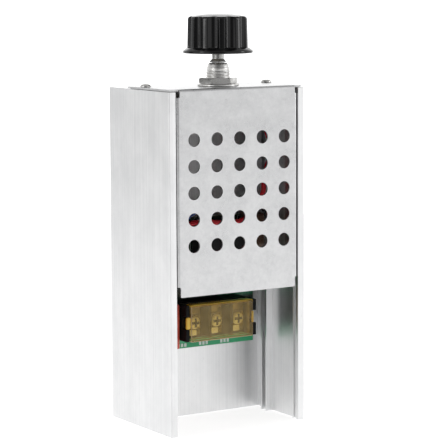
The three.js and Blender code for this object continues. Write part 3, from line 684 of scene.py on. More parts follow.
def smooth_route(points, steps=8):
    """Points along a centripetal Catmull-Rom curve through the given ones."""
    points = [np.array(p, float) for p in points]
    points = [2 * points[0] - points[1], *points, 2 * points[-1] - points[-2]]
    out = []
    for p0, p1, p2, p3 in zip(points, points[1:], points[2:], points[3:]):
        t1 = np.linalg.norm(p1 - p0) ** 0.5
        t2 = t1 + np.linalg.norm(p2 - p1) ** 0.5
        t3 = t2 + np.linalg.norm(p3 - p2) ** 0.5
        for t in np.linspace(t1, t2, steps, endpoint=False):
            a1 = p0 + (p1 - p0) * t / t1
            a2 = p1 + (p2 - p1) * (t - t1) / (t2 - t1)
            a3 = p2 + (p3 - p2) * (t - t2) / (t3 - t2)
            b1 = a1 + (a2 - a1) * t / t2
            b2 = a2 + (a3 - a2) * (t - t1) / (t3 - t1)
            out.append(b1 + (b2 - b1) * (t - t1) / (t2 - t1))
    return np.array([*out, points[-2]])


def tube(route, radius, columns=16):
    """A round bar along a route. radius may be a list, one for each point."""
    route = np.array(route, float)
    radii = np.broadcast_to(radius, len(route)).astype(float)
    along = np.gradient(route, axis=0)
    along /= np.linalg.norm(along, axis=1)[:, None]
    side = np.cross(along[0], (0.3, 0.9, 0.31))
    angle = angles(columns)[:, None]
    rings = []
    for place, heading, wide in zip(route, along, radii):
        side = side - heading * (side @ heading)
        side /= np.linalg.norm(side)
        other = np.cross(heading, side)
        rings.append(place + wide * (np.cos(angle) * side + np.sin(angle) * other))
    return skin(rings)


def thread(radius, depth, pitch, z0, z1, columns=72, steps=10):
    """Profile rows of a screw thread between two heights, running out at both ends."""
    angle = np.linspace(0, 1, columns, endpoint=False)
    rows = []
    for z in np.linspace(z0, z1, max(3, int((z1 - z0) / pitch * steps))):
        ridge = 0.5 - 0.5 * np.cos(2 * np.pi * (z / pitch - angle))
        ends = min(1.0, abs(z - z0) / pitch, abs(z1 - z) / pitch)
        rows.append((radius - depth + depth * ridge * ends, z))
    return rows


# A cross-head screw. cross_reach and cross_width are shares of its head's radius.
Screw = namedtuple("Screw", "head_radius head_height shank_radius length pitch cross_reach cross_width",
                   defaults=(0.5, 0.56, 0.15))
SCREW_COLUMNS = 48


def pan_screw(screw):
    """A pan-head screw pointing down, with the underside of its head at height 0."""
    wide, tall, shank = screw.head_radius, screw.head_height, screw.shank_radius
    dome = rounded([(0, tall), (wide * 0.6, tall * 0.97), (wide * 0.9, tall * 0.7), (wide, tall * 0.3),
                    (wide, 0), (shank, 0)], 0.35, closed=False)
    rows = thread(shank, shank * 0.18, screw.pitch, -screw.length + 0.5, -0.3, SCREW_COLUMNS)
    tip = [(0, -screw.length), (shank * 0.6, -screw.length)]
    return turned([*tip, *rows, *dome[::-1]], SCREW_COLUMNS)


def cross_recess(screw):
    """The tapered cross that is cut out of a screw's head."""
    rings = []
    tall = screw.head_height
    for z, share in ((tall * 0.3, 0.45), (tall * 0.75, 0.9), (tall + 0.6, 1.1)):
        arm = screw.head_radius * screw.cross_reach * share
        slot = screw.head_radius * screw.cross_width * (0.6 + 0.4 * share)
        outline = [(slot, slot), (slot, arm), (-slot, arm), (-slot, slot), (-arm, slot), (-arm, -slot),
                   (-slot, -slot), (-slot, -arm), (slot, -arm), (slot, -slot), (arm, -slot), (arm, slot)]
        rings.append(ring_at(np.array(outline), z))
    return skin(rings)


# Pieces


def mesh_object(name, shape):
    vertices, faces = shape
    mesh = bpy.data.meshes.new(name)
    corners = [tuple(int(i) for i in face) for face in faces]
    mesh.from_pydata((np.array(vertices) * MM).tolist(), [], corners)
    clean = bmesh.new()
    clean.from_mesh(mesh)
    bmesh.ops.remove_doubles(clean, verts=clean.verts, dist=1e-7)
    bmesh.ops.dissolve_degenerate(clean, edges=clean.edges, dist=1e-8)
    bmesh.ops.recalc_face_normals(clean, faces=clean.faces)
    clean.to_mesh(mesh)
    clean.free()
    return add_object(name, mesh)


def carve(piece, *shapes):
    """Cuts closed shapes out of a piece."""
    cutter = mesh_object(piece.name + "_cut", merged(*shapes))
    cut = piece.modifiers.new("cut", "BOOLEAN")
    cut.operation = "DIFFERENCE"
    cut.solver = "EXACT"
    cut.object = cutter
    settled = bpy.context.evaluated_depsgraph_get()
    mesh = bpy.data.meshes.new_from_object(piece.evaluated_get(settled))
    piece.modifiers.clear()
    piece.data = mesh
    bpy.data.objects.remove(cutter)


def break_edges(piece, width):
    """Bevels the sharp edges by a width in millimetres."""
    bevel = piece.modifiers.new("broken_edges", "BEVEL")
    bevel.width = width * MM
    bevel.segments = 2
    bevel.limit_method = "ANGLE"
    bevel.angle_limit = math.radians(32)
    return bevel


def flatten_light(piece):
    """Keeps the flat faces flat in the light."""
    piece.modifiers.new("flat_faces", "WEIGHTED_NORMAL").keep_sharp = True


def soften(piece, edge):
    """Smooth light over the round faces. The sharp edges are broken by edge, or stay sharp without it."""
    for face in piece.data.polygons:
        face.use_smooth = True
    if edge:
        break_edges(piece, edge).miter_outer = "MITER_ARC"
    else:
        piece.data.set_sharp_from_angle(angle=math.radians(38))
    flatten_light(piece)


def add_piece(name, shape, node, edge=0.0, cuts=(), finish=None, replaces=True):
    """A piece that stands for a CAD node, or sits beside it, on the same body and with the same slot."""
    piece = mesh_object(name, shape)
    if cuts:
        carve(piece, *cuts)
    piece.data.materials.clear()
    piece.data.materials.append(FINISHES[finish or SLOT_OF[node]])
    soften(piece, edge)
    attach(piece, BODY_OF[node])
    if replaces:
        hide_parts(node)
    return piece


def add_screw(name, node, screw, seat=None, finish=None):
    """A screw where its CAD node is. It faces the front, or up where its seat's height is given."""
    x, y, z = middle_of(node)
    shapes = pan_screw(screw), cross_recess(screw)
    if seat is None:
        seat = box_of(node)[0][1] + screw.head_height
        shape, recess = (moved(facing_front(s), x, seat, z) for s in shapes)
    else:
        shape, recess = (moved(s, x, y, seat) for s in shapes)
    return add_piece(name, shape, node, cuts=[recess], finish=finish)


# Housing and cover

PLATE_HOLE_RADIUS = 1.7
PLATE_HOLE_DEPTHS = (10, 18)  # in front of the back plate, and behind it


def cap_outline(node):
    """The outline of an extruded CAD node's top face, counter-clockwise."""
    mesh = frame["nodes"][node].data
    places = np.array([v.co for v in mesh.vertices]) / MM
    top = places[:, 2].max()
    keys = [tuple(np.round(p, 3)) for p in places]
    faces = [[keys[i] for i in face.vertices] for face in mesh.polygons]
    follow = dict(rim_of([face for face in faces if all(abs(corner[2] - top) < 0.01 for corner in face)]))
    start = next(iter(follow))
    loop = [start]
    while follow[loop[-1]] != start:
        loop.append(follow[loop[-1]])
    outline = np.array(loop)[:, :2]
    before = outline - np.roll(outline, 1, axis=0)
    after = np.roll(before, -1, axis=0)
    bends = np.abs(before[:, 0] * after[:, 1] - before[:, 1] * after[:, 0]) > 1e-4
    return outline[bends]


def add_housing():
    """The extrusion, its corners eased as a die leaves them and its sawn ends lightly broken."""
    low, high = box_of("heatsink_housing")
    outline = rounded(cap_outline("heatsink_housing"), 0.35, steps=2)
    near, far = PLATE_HOLE_DEPTHS
    drill = facing_front(turned([(PLATE_HOLE_RADIUS, -far), (PLATE_HOLE_RADIUS, -near)], 32))
    holes = []
    for screw in ("board_screw_1", "board_screw_2", "board_screw_3", "triac_screw"):
        x, _, z = middle_of(screw)
        holes.append(moved(drill, x, 0, z))
    add_piece("extruded_housing", prism(outline, low[2], high[2]), "heatsink_housing", cuts=holes)


SHEET = 1.0
BEND_RADIUS = 1.1            # at the middle of the sheet
BEND_STEPS = 8
COVER_HALF = 34.0            # from the cover's centre line to where each side bend starts
COVER_SHIFT = 0.2
COVER_CORNER = 0.6
FLANGE_BOTTOM = 75.3
FLANGE_TOP = 169.0
FLANGE_DEPTH = 10.0
VENT_RADIUS = 3.35
VENT_PITCH_X = 13.35
VENT_PITCH_Z = 13.2
VENT_MIDDLE = (0.85, 121.5)
VENT_SKEW = 0.35             # degrees by which the punched rows lean
VENTS = 5
BUSH_HOLE = 6.25
COVER_SCREW_HOLE = 1.7
HOLE_COLUMNS = 40
COVER_SCREW = Screw(2.75, 1.45, 1.4, 9.0)
COVER_SCREW_HEAD = 1.9       # height of the CAD node's head


def vent_holes():
    lean = math.radians(VENT_SKEW)
    steps = range(-(VENTS // 2), VENTS // 2 + 1)
    holes = []
    for across, up in ((column * VENT_PITCH_X, row * VENT_PITCH_Z) for row in steps for column in steps):
        x = VENT_MIDDLE[0] + across * math.cos(lean) + up * math.sin(lean)
        z = VENT_MIDDLE[1] + up * math.cos(lean) - across * math.sin(lean)
        holes.append(circle(VENT_RADIUS, (x, z), HOLE_COLUMNS))
    return holes


def add_cover():
    """One sheet, laid out flat with its holes and then bent back along both sides and over the top."""
    low, high = box_of("front_cover")
    arc = BEND_RADIUS * math.pi / 2
    bend_y = low[1] + SHEET / 2 + BEND_RADIUS
    bend_z = high[2] - SHEET / 2 - BEND_RADIUS
    left = COVER_SHIFT - COVER_HALF
    right = COVER_SHIFT + COVER_HALF
    reach = arc + low[1] + FLANGE_DEPTH - bend_y
    ear = bend_z + arc
    rear = ear + high[1] - bend_y
    outline = rounded([
        (left, low[2]), (right, low[2]), (right, FLANGE_BOTTOM), (right + reach, FLANGE_BOTTOM),
        (right + reach, FLANGE_TOP), (right, FLANGE_TOP), (right, bend_z), (right, ear), (high[0], ear),
        (high[0], rear), (low[0], rear), (low[0], ear), (left, ear), (left, bend_z), (left, FLANGE_TOP),
        (left - reach, FLANGE_TOP), (left - reach, FLANGE_BOTTOM), (left, FLANGE_BOTTOM),
    ], COVER_CORNER)
    holes = vent_holes()
    for node, radius in (("pot_bush", BUSH_HOLE), ("cover_screw_left", COVER_SCREW_HOLE),
                         ("cover_screw_right", COVER_SCREW_HOLE)):
        x, y, _ = middle_of(node)
        holes.append(circle(radius, (x, ear + y - bend_y), HOLE_COLUMNS))
    lines = []
    for bent in (arc * step / BEND_STEPS for step in range(BEND_STEPS + 1)):
        lines.append(((right + bent, FLANGE_BOTTOM), (right + bent, FLANGE_TOP)))
        lines.append(((left - bent, FLANGE_BOTTOM), (left - bent, FLANGE_TOP)))
        lines.append(((left, bend_z + bent), (right, bend_z + bent)))
    flat, faces = tiled(outline, holes, lines)

    def wrapped(distance):
        """How far a point past a bend line has gone along the first face and back along the next."""
        turn = np.clip(distance / BEND_RADIUS, 0, math.pi / 2)
        onward = BEND_RADIUS * np.sin(turn)
        inward = BEND_RADIUS * (1 - np.cos(turn)) + max(0.0, distance - arc)
        return onward, inward

    vertices = []
    for x, z in flat:
        inward = 0.0
        if z > bend_z:
            onward, inward = wrapped(z - bend_z)
            z = bend_z + onward
        elif x > right:
            onward, inward = wrapped(x - right)
            x = right + onward
        elif x < left:
            onward, inward = wrapped(left - x)
            x = left - onward
        vertices.append((x, bend_y - BEND_RADIUS + inward, z))

    cover = add_piece("bent_cover", (vertices, faces), "front_cover")
    cover.modifiers.clear()
    thick = cover.modifiers.new("thickness", "SOLIDIFY")
    thick.thickness = SHEET * MM
    thick.offset = 0
    thick.use_even_offset = True
    soften(cover, 0.12)


def add_cover_screws():
    for side in ("left", "right"):
        node = f"cover_screw_{side}"
        add_screw(f"pan_screw_{side}", node, COVER_SCREW, seat=box_of(node)[1][2] - COVER_SCREW_HEAD)


# Potentiometer and knob

SHAFT_BORE = 3.08
BUSH_RADIUS = 6.05
BUSH_NECK = 5.0
BUSH_PLATE = 1.4             # thickness of the plate at its foot
THREAD_PITCH = 1.5
THREAD_DEPTH = 0.34
THREAD_TOP = 182.2
WASHER_GAP = 0.35            # between the thread and the washer
NUT_ACROSS_FLATS = 17.0
NUT_TURN = 38.0
NUT_GAP = 0.12               # between the thread and the nut
NUT_COLUMNS = 144
CAN_WALL = 0.7
CAN_FLOOR = 0.9
GROOVE = 0.7                 # depth of the shaft's groove for its clip
KNOB_FOOT_RADIUS = 15.45
KNOB_TOP_RADIUS = 15.1
KNOB_EDGE = 1.6
KNOB_DOME = 1.2              # rise of its slightly domed top
SKIRT_RADIUS = 17.75
SKIRT_EDGE = 1.25            # thickness at its rim
SKIRT_TOP = 2.7              # thickness where it meets the grip
HOLLOW = 12.5                # depth of the hollow underneath
FLUTES = 11
FLUTE_RADIUS = 3.3
FLUTE_CENTRE_RADIUS = 16.7
FIRST_FLUTE = -130.1
FLUTE_COLUMNS = 36
FLUTE_EDGE = 0.28            # how gently the grip turns into a flute
HUB_RADIUS = 6.8
KNOB_BORE = 4.6
SET_SCREW_HOLE = 1.8


def on_shaft(shape):
    """A shape made round the origin, moved to the shaft's axis."""
    x, y, _ = middle_of("pot_washer")
    return moved(shape, x, y)


def add_bush():
    low, high = box_of("pot_bush")
    plate = low[2] + BUSH_PLATE
    root = BUSH_RADIUS - THREAD_DEPTH
    rim = high[0]
    foot = rounded([(SHAFT_BORE, low[2]), (rim, low[2]), (rim, plate), (root, plate)], 0.25, closed=False)
    neck = rounded([
        (root, THREAD_TOP), (BUSH_RADIUS - 0.5, THREAD_TOP + 0.3), (BUSH_NECK, high[2] - 0.5),
        (BUSH_NECK - 0.5, high[2]), (SHAFT_BORE, high[2]),
    ], 0.2, closed=False)
    rows = thread(BUSH_RADIUS, THREAD_DEPTH, THREAD_PITCH, plate + 0.2, THREAD_TOP)
    shape = on_shaft(turned([*foot, *rows, *neck], hollow=True))
    add_piece("threaded_bush", shape, "pot_bush", finish="satin_nickel")


def add_washer():
    low, high = box_of("pot_washer")
    outer = (high[0] - low[0]) / 2
    inner = BUSH_RADIUS + WASHER_GAP
    corners = [(inner, low[2]), (outer, low[2]), (outer, high[2]), (inner, high[2])]
    washer = on_shaft(lathed(corners, 0.22, 96, hollow=True))
    add_piece("flat_washer", washer, "pot_washer", finish="satin_nickel")


def add_nut():
    """A hexagon nut, chamfered on both faces and round the ends of its thread."""
    low, high = box_of("pot_nut")
    bore = BUSH_RADIUS + NUT_GAP
    angle = np.degrees(angles(NUT_COLUMNS))
    hexagon = NUT_ACROSS_FLATS / 2 / np.cos(np.radians((angle % 60) - 30))
    crown = NUT_ACROSS_FLATS / math.sqrt(3) - 0.85
    slope = np.maximum(hexagon - crown, 0) * 0.62
    face = np.minimum(hexagon, crown)
    profile = [
        (bore, low[2] + 0.5), (bore + 0.45, low[2]), (face, low[2]), (hexagon, low[2] + slope),
        (hexagon, high[2] - slope), (face, high[2]), (bore + 0.45, high[2]), (bore, high[2] - 0.5),
    ]
    shape = on_shaft(turned(profile, NUT_COLUMNS, True, math.radians(NUT_TURN)))
    add_piece("hexagon_nut", shape, "pot_nut", edge=0.16)


def add_can():
    """The deep-drawn can, with a shallow ring pressed into its floor."""
    low, high = box_of("pot_can")
    radius = (high[0] - low[0]) / 2
    pressed = low[2] + 0.35
    floor = low[2] + CAN_FLOOR
    can = lathed([
        (0, low[2]), (radius * 0.35, low[2]), (radius * 0.4, pressed), (radius * 0.75, pressed),
        (radius * 0.8, low[2]), (radius, low[2]), (radius, high[2]), (radius - CAN_WALL, high[2]),
        (radius - CAN_WALL, floor), (0, floor),
    ], 0.5)
    add_piece("potentiometer_can", on_shaft(can), "pot_can")


def add_shaft():
    """The control shaft, and the open clip in its groove."""
    low, high = box_of("pot_shaft")
    radius = (high[0] - low[0]) / 2
    ring_low, ring_high = (corner[2] for corner in box_of("pot_retaining_ring"))
    below, above = ring_low - 0.1, ring_high + 0.1
    shaft = lathed([
        (0, low[2]), (radius, low[2]), (radius, below), (radius - GROOVE, below), (radius - GROOVE, above),
        (radius, above), (radius, high[2] - 0.6), (radius - 0.6, high[2]), (0, high[2]),
    ], 0.12)
    # The shaft's darker plate is painted shade from the knob.
    add_piece("control_shaft", on_shaft(shaft), "pot_shaft", finish="shaded_plate")
    clip = lathed([
        (2.42, ring_low), (4.1, ring_low), (4.15, ring_low + 0.4), (3.3, ring_high - 0.2), (3.1, ring_high),
        (2.42, ring_high),
    ], 0.2, hollow=True)
    opening = on_shaft(prism(rectangle(-1.3, 1.3, 0, 5), ring_low - 1, ring_high + 1))
    add_piece("retaining_clip", on_shaft(clip), "pot_retaining_ring", cuts=[opening], finish="spring_steel")


def add_knob():
    """A fluted grip that stands on a thin flared skirt, hollow underneath round its hub."""
    low, high = box_of("knob")
    base, top = low[2], high[2]
    roof = box_of("knob_insert")[1][2] + 0.2
    columns = FLUTES * FLUTE_COLUMNS
    pitch = 2 * np.pi / FLUTES
    off_centre = (angles(columns) + pitch / 2) % pitch - pitch / 2
    across = FLUTE_CENTRE_RADIUS * np.sin(off_centre)
    chord = np.sqrt(np.maximum(FLUTE_RADIUS**2 - across**2, 0))
    flute = np.where(np.abs(across) < FLUTE_RADIUS, FLUTE_CENTRE_RADIUS * np.cos(off_centre) - chord, 99.0)

    def fluted(radius):
        """The grip's outline where its radius between the flutes is this."""
        return soft_least(np.full(columns, radius), flute, FLUTE_EDGE)

    floor = base + SKIRT_TOP
    profile = list(rounded([
        (0, roof), (KNOB_BORE, roof), (KNOB_BORE, base + 0.8), (HUB_RADIUS, base + 0.8),
        (HUB_RADIUS, base + HOLLOW), (11.2, base + HOLLOW), (12.0, base), (SKIRT_RADIUS, base),
        (SKIRT_RADIUS, base + SKIRT_EDGE), (KNOB_FOOT_RADIUS + 0.35, floor),
    ], 0.4, closed=False))
    wall = fluted(KNOB_FOOT_RADIUS)
    cove = np.minimum(0.6, (KNOB_FOOT_RADIUS + 0.35 - wall) * 0.6)
    for turn in np.radians((0, 22, 45, 67, 90)):
        profile.append((wall + cove * (1 - np.sin(turn)), floor + cove * (1 - np.cos(turn))))
    for share in np.linspace(0.08, 1, 6):
        radius = KNOB_FOOT_RADIUS + (KNOB_TOP_RADIUS - KNOB_FOOT_RADIUS) * share
        profile.append((fluted(radius), floor + (top - KNOB_EDGE - floor) * share))
    for turn in np.radians(np.linspace(9, 90, 10)):
        radius = KNOB_TOP_RADIUS - KNOB_EDGE * (1 - math.cos(turn))
        profile.append((fluted(radius), top - KNOB_EDGE * (1 - math.sin(turn))))
    for share in (0.85, 0.7, 0.5, 0.3, 0.15, 0.0):
        profile.append(((KNOB_TOP_RADIUS - KNOB_EDGE) * share, top + KNOB_DOME * (1 - share**3)))
    shape = on_shaft(turned(profile, columns, phase=math.radians(FIRST_FLUTE)))
    add_piece("fluted_knob", shape, "knob", cuts=[set_screw_hole(SKIRT_RADIUS)])


def set_screw_hole(reach):
    """The hole for the set screw, from near the shaft's axis to a reach towards the back."""
    x, _, z = middle_of("knob_set_screw")
    bore = facing_front(turned([(SET_SCREW_HOLE, -reach), (SET_SCREW_HOLE, -1.0)], 40))
    return moved(bore, x, middle_of("pot_washer")[1], z)


def add_knob_metal():
    low, high = box_of("knob_insert")
    outer = KNOB_BORE - 0.1
    waist = outer - 0.25
    insert = lathed([
        (SHAFT_BORE, low[2]), (outer, low[2]), (outer, low[2] + 3), (waist, low[2] + 3.2),
        (waist, low[2] + 5), (outer, low[2] + 5.2), (outer, high[2]), (SHAFT_BORE, high[2]),
    ], 0.15, hollow=True)
    add_piece("brass_insert", on_shaft(insert), "knob_insert", cuts=[set_screw_hole(9)])

    x, _, z = middle_of("knob_set_screw")
    inner, outer = (corner[1] for corner in box_of("knob_set_screw"))
    length = outer - inner
    rows = thread(1.5, 0.22, 0.5, -length + 0.5, -0.2, SCREW_COLUMNS)
    grub = turned([(0, -length), (0.9, -length), *rows, (1.2, 0), (0, 0)], SCREW_COLUMNS)
    slot = prism(rectangle(-2, 2, -0.28, 0.28), -0.9, 1, edge=0.02)
    grub, slot = (moved(facing_back(s), x, outer, z) for s in (grub, slot))
    add_piece("grub_screw", grub, "knob_set_screw", cuts=[slot])


# Circuit board and what stands on it

PADS = {"blue": (-18, 98), "red": (-14, 98), "black": (-10, 98)}
LUG_PIN_DROP = 3.2           # from the terminal body's top down to its lugs' pins
BOARD_SCREW_HOLE = 1.7
LUG_PIN_HOLE = 1.1
BOARD_SCREW = Screw(2.75, 2.0, 1.4, 8.0)
TRACKS = (                   # left, right, bottom and top
    (-29, 30.5, 64.2, 68.4),
    (22.4, 30.5, 40, 63.4),
    (-15.5, -9.0, 70.4, 96),
)
OUTLINE = 0.3                # width of the printed lines
OUTLINE_GAP = 0.6            # between a part and the lines round it
DASHES = 3                   # beside each terminal
DASH_PITCH = 2.0
DASH_LENGTH = 1.4


def board_front():
    return box_of("circuit_board")[0][1]


def board_back():
    return box_of("circuit_board")[1][1]


def on_board(shape, lift=0.0):
    """A shape drawn flat in X and Z, standing on the board's front or lifted a little off it."""
    return moved(facing_front(shape), y=board_front() - lift)


def add_on_board(name, shapes, lift, finish):
    """One more piece of the board, made of several shapes that lie on its front."""
    add_piece(name, on_board(merged(*shapes), lift), "circuit_board", finish=finish, replaces=False)


def add_board():
    low, high = box_of("circuit_board")
    holes = [circle(BOARD_SCREW_HOLE, middle_of(f"board_screw_{i}")[[0, 2]], 32) for i in THREE]
    pin_z = box_of("terminal_body")[1][2] - LUG_PIN_DROP
    poles = [middle_of(f"terminal_clamp_{i}")[0] for i in THREE]
    holes += [circle(LUG_PIN_HOLE, (x, pin_z), 24) for x in poles]
    blank = pierced(rectangle(low[0], high[0], low[2], high[2], 0.5), holes, low[1] - high[1], 0)
    board = add_piece("printed_board", on_board(blank), "circuit_board", edge=0.06)
    board.data.materials.append(FINISHES["board_edge"])
    for face in board.data.polygons:
        face.material_index = 0 if abs(face.normal.y) > 0.9 else 1
    add_solder()
    add_tracks(poles)
    add_marks(poles)


def add_solder():
    """Tinned rings round the screws, and solder round the leads and legs."""
    screw_ring = turned([(1.75, 0), (3.6, 0), (3.55, 0.05), (1.8, 0.05)], 48, hollow=True)
    lead_cone = [(0.95, 0), (1.7, 0), (1.6, 0.12), (1.05, 0.7), (0.95, 0.75)]
    leg_cone = [(0.42, 0), (1.15, 0), (1.1, 0.1), (0.55, 0.5), (0.42, 0.55)]
    lead_joint = lathed(lead_cone, 0.15, 32, hollow=True)
    leg_joint = lathed(leg_cone, 0.1, 24, hollow=True)
    rings = [moved(screw_ring, *middle_of(f"board_screw_{i}")[[0, 2]]) for i in THREE]
    rings += [moved(lead_joint, *place) for place in PADS.values()]
    rings += [moved(leg_joint, *place) for place in leg_places()]
    add_on_board("solder_joints", rings, 0.01, "nickel")


def add_tracks(poles):
    """Wide copper under the mask, from the terminals down to the edge and up behind the parts."""
    bottom = box_of("circuit_board")[0][2]
    places = [(x - 4.6, x + 4.6, bottom + 2.8, bottom + 6.4) for x in poles]
    strips = [prism(rectangle(*place, 0.8), 0, 0.07, 0.02) for place in (*places, *TRACKS)]
    add_on_board("masked_tracks", strips, 0.005, "masked_copper")


def add_marks(poles):
    """Printed outlines round the parts, and plain dashes beside each terminal."""
    low, high = box_of("circuit_board")
    places = []
    for node in ("filter_capacitor", "snubber_capacitor", "timing_capacitor", "snubber_resistor"):
        part_low, part_high = box_of(node)
        x0 = max(part_low[0] - OUTLINE_GAP, -high[0] + 0.4)
        z0 = part_low[2] - OUTLINE_GAP
        x1, z1 = np.minimum(part_high + OUTLINE_GAP, high - 0.4)[[0, 2]]
        places += [(x0, x1, z0, z0 + OUTLINE), (x0, x1, z1 - OUTLINE, z1), (x0, x0 + OUTLINE, z0, z1),
                   (x1 - OUTLINE, x1, z0, z1)]
    for x in poles:
        for left in (x - 1.9 + step * DASH_PITCH for step in range(DASHES)):
            places.append((left, left + DASH_LENGTH, low[2] + 0.7, low[2] + 2.5))
    bars = [prism(rectangle(*place, 0.08, 1), 0, 0.03, 0.01) for place in places]
    add_on_board("board_marks", bars, 0.08, "board_ink")


def leg_places():
    """Where the legs of the axial parts go through the board."""
    low, high = box_of("snubber_resistor")
    x = (low[0] + high[0]) / 2
    out = [(x, low[2] + 0.4), (x, high[2] - 0.4)]
    for node in ("timing_resistor", "diac"):
        low, high = box_of(node)
        z = (low[2] + high[2]) / 2
        out += [(low[0] + 0.35, z), (high[0] - 0.35, z)]
    return out


def add_axial(node, upright, radius, length, leg_radius, waist=1.0, finish=None):
    """A part on two bent legs, lying along Z or X. waist is the share of the radius at its middle."""
    low, high = box_of(node)
    centre = (low + high) / 2
    along = 2 if upright else 0
    half = length / 2
    y = low[1] + radius
    slim = radius * waist
    body = lathed([
        (leg_radius, -half), (radius * 0.8, -half), (radius, -half + radius * 0.3),
        (radius, -half + radius * 0.9), (slim, -half + radius * 1.3), (slim, half - radius * 1.3),
        (radius, half - radius * 0.9), (radius, half - radius * 0.3), (radius * 0.8, half),
        (leg_radius, half),
    ], radius * 0.3, 40)
    body = moved(body if upright else lying_along_x(body), centre[0], y, centre[2])
    piece = add_piece(node + "_body", body, node, finish=finish)
    uv = piece.data.uv_layers.new(name="along")
    for loop in piece.data.loops:
        place = piece.data.vertices[loop.vertex_index].co[along] / MM
        uv.data[loop.index].uv = ((place - centre[along]) / length + 0.5, 0.5)

    legs = []
    for end in (low[along] + leg_radius, high[along] - leg_radius):
        near = np.array([centre[0], y, centre[2]])
        near[along] = centre[along] + (half - 0.5) * np.sign(end - centre[along])
        corner = near.copy()
        corner[along] = end
        foot = corner.copy()
        foot[1] = board_front() - 0.05
        legs.append(tube(rounded([near, corner, foot], 0.9, closed=False, steps=6), leg_radius, 12))
    add_piece(node + "_body_legs", merged(*legs), node, finish="nickel", replaces=False)


def add_board_parts():
    for node, corner in (("filter_capacitor", 0.8), ("snubber_capacitor", 0.8), ("timing_capacitor", 2.2)):
        add_piece(node + "_body", block(*box_of(node), corner, 0.15), node)
    add_axial("snubber_resistor", True, 2.4, 15.0, 0.4, 0.86, "resistor")
    add_axial("timing_resistor", False, 1.2, 7.0, 0.35, 0.86, "resistor")
    add_axial("diac", False, 0.95, 4.2, 0.3)
    for i in THREE:
        node = f"board_standoff_{i}"
        low, high = box_of(node)
        x, _, z = middle_of(node)
        corners = [(1.65, -low[1]), (2.9, -low[1]), (2.9, -high[1]), (1.65, -high[1])]
        spacer = facing_front(lathed(corners, 0.18, 48, hollow=True))
        add_piece(f"brass_spacer_{i}", moved(spacer, x, 0, z), node)
        add_screw(f"board_pan_screw_{i}", f"board_screw_{i}", BOARD_SCREW)


TRIAC_THICKNESS = 4.9
TRIAC_GAP = 0.1              # between its body and the pad
TRIAC_HOLE = 1.8
TRIAC_NOTCH = 0.7            # depth of the notches in its sides
TRIAC_LEG_PITCH = 5.45
TRIAC_SCREW = Screw(2.9, 2.2, 1.4, 9.0)


def add_triac():
    """A power package: a moulded body with a hole for its screw, and three tinned legs."""
    low, high = box_of("triac_pad")
    x0, x1, z0, z1 = low[0] + 1, high[0] - 1, low[2] + 1, high[2] - 1
    screw_x, _, screw_z = middle_of("triac_screw")
    in_left, in_right = x0 + TRIAC_NOTCH, x1 - TRIAC_NOTCH
    outline = rounded([
        (x0, z0), (x1, z0), (x1, z1 - 5), (in_right, z1 - 5), (in_right, z1 - 3), (x1, z1 - 3),
        (x1, z1), (x0, z1), (x0, z1 - 3), (in_left, z1 - 3), (in_left, z1 - 5), (x0, z1 - 5),
    ], 0.3)
    body = pierced(outline, [circle(TRIAC_HOLE, (screw_x, screw_z), 40)], 0, TRIAC_THICKNESS)
    add_piece("triac_body", moved(facing_front(body), y=low[1] - TRIAC_GAP), "triac", edge=0.3)

    foot = box_of("triac")[0][2]
    back = board_back()
    legs = []
    for side in (-1, 0, 1):
        x = (x0 + x1) / 2 + side * TRIAC_LEG_PITCH
        outline = rectangle(x - 0.6, x + 0.6, back + 0.4, back + 1.0, 0.08, 1)
        legs.append(prism(outline, foot, z0 + 1.0, 0.1))
    add_piece("triac_legs", merged(*legs), "triac", finish="nickel", replaces=False)
    add_screw("triac_pan_screw", "triac_screw", TRIAC_SCREW)


# Terminal block

SHIELD_HALF = 18.7
SHIELD_WALL = 1.2
SHIELD_SKIRT = 4.6
SHIELD_ROUND = 0.7           # radius of the edge round its front
TAB_BOTTOM = 50.5
TAB_TOP = 56.5
CLAMP_CORNER = 1.4
CLAMP_HOLE = 2.0
CLAMP_COLUMNS = 64
TONGUE_THICKNESS = 1.2
POLE_SCREW = Screw(3.2, 2.1, 1.7, 6.5, 0.6, 0.78, 0.24)


def resampled(loop, count):
    """The same closed outline with its points spread evenly."""
    closed = np.vstack([loop, loop[:1]])
    steps = np.linalg.norm(np.diff(closed, axis=0), axis=1)
    along = np.concatenate([[0], np.cumsum(steps)])
    places = np.linspace(0, along[-1], count, endpoint=False)
    return np.stack([np.interp(places, along, closed[:, k]) for k in (0, 1)], axis=1)


def by_angle(loop):
    """The points of an outline, in the order of their angle about the origin."""
    return loop[np.argsort(np.arctan2(loop[:, 1], loop[:, 0]))]


def clamp_plate(half, thick):
    """A square plate with a dished face and a hole, its foot at height 0."""
    square = rounded(rectangle(-half, half, -half, half), CLAMP_CORNER, steps=5)
    square = by_angle(resampled(square, CLAMP_COLUMNS))
    hole = by_angle(circle(CLAMP_HOLE, columns=CLAMP_COLUMNS))
    between = hole * 0.35 + square * 0.65
    rings = (
        (hole, 0), (hole, thick * 0.75), (hole * 1.08, thick * 0.8), (between, thick * 0.72),
        (square * 0.93, thick), (square, thick * 0.8), (square, 0.12), (square * 0.97, 0),
    )
    return skin([ring_at(loop, height) for loop, height in rings], hollow=True)


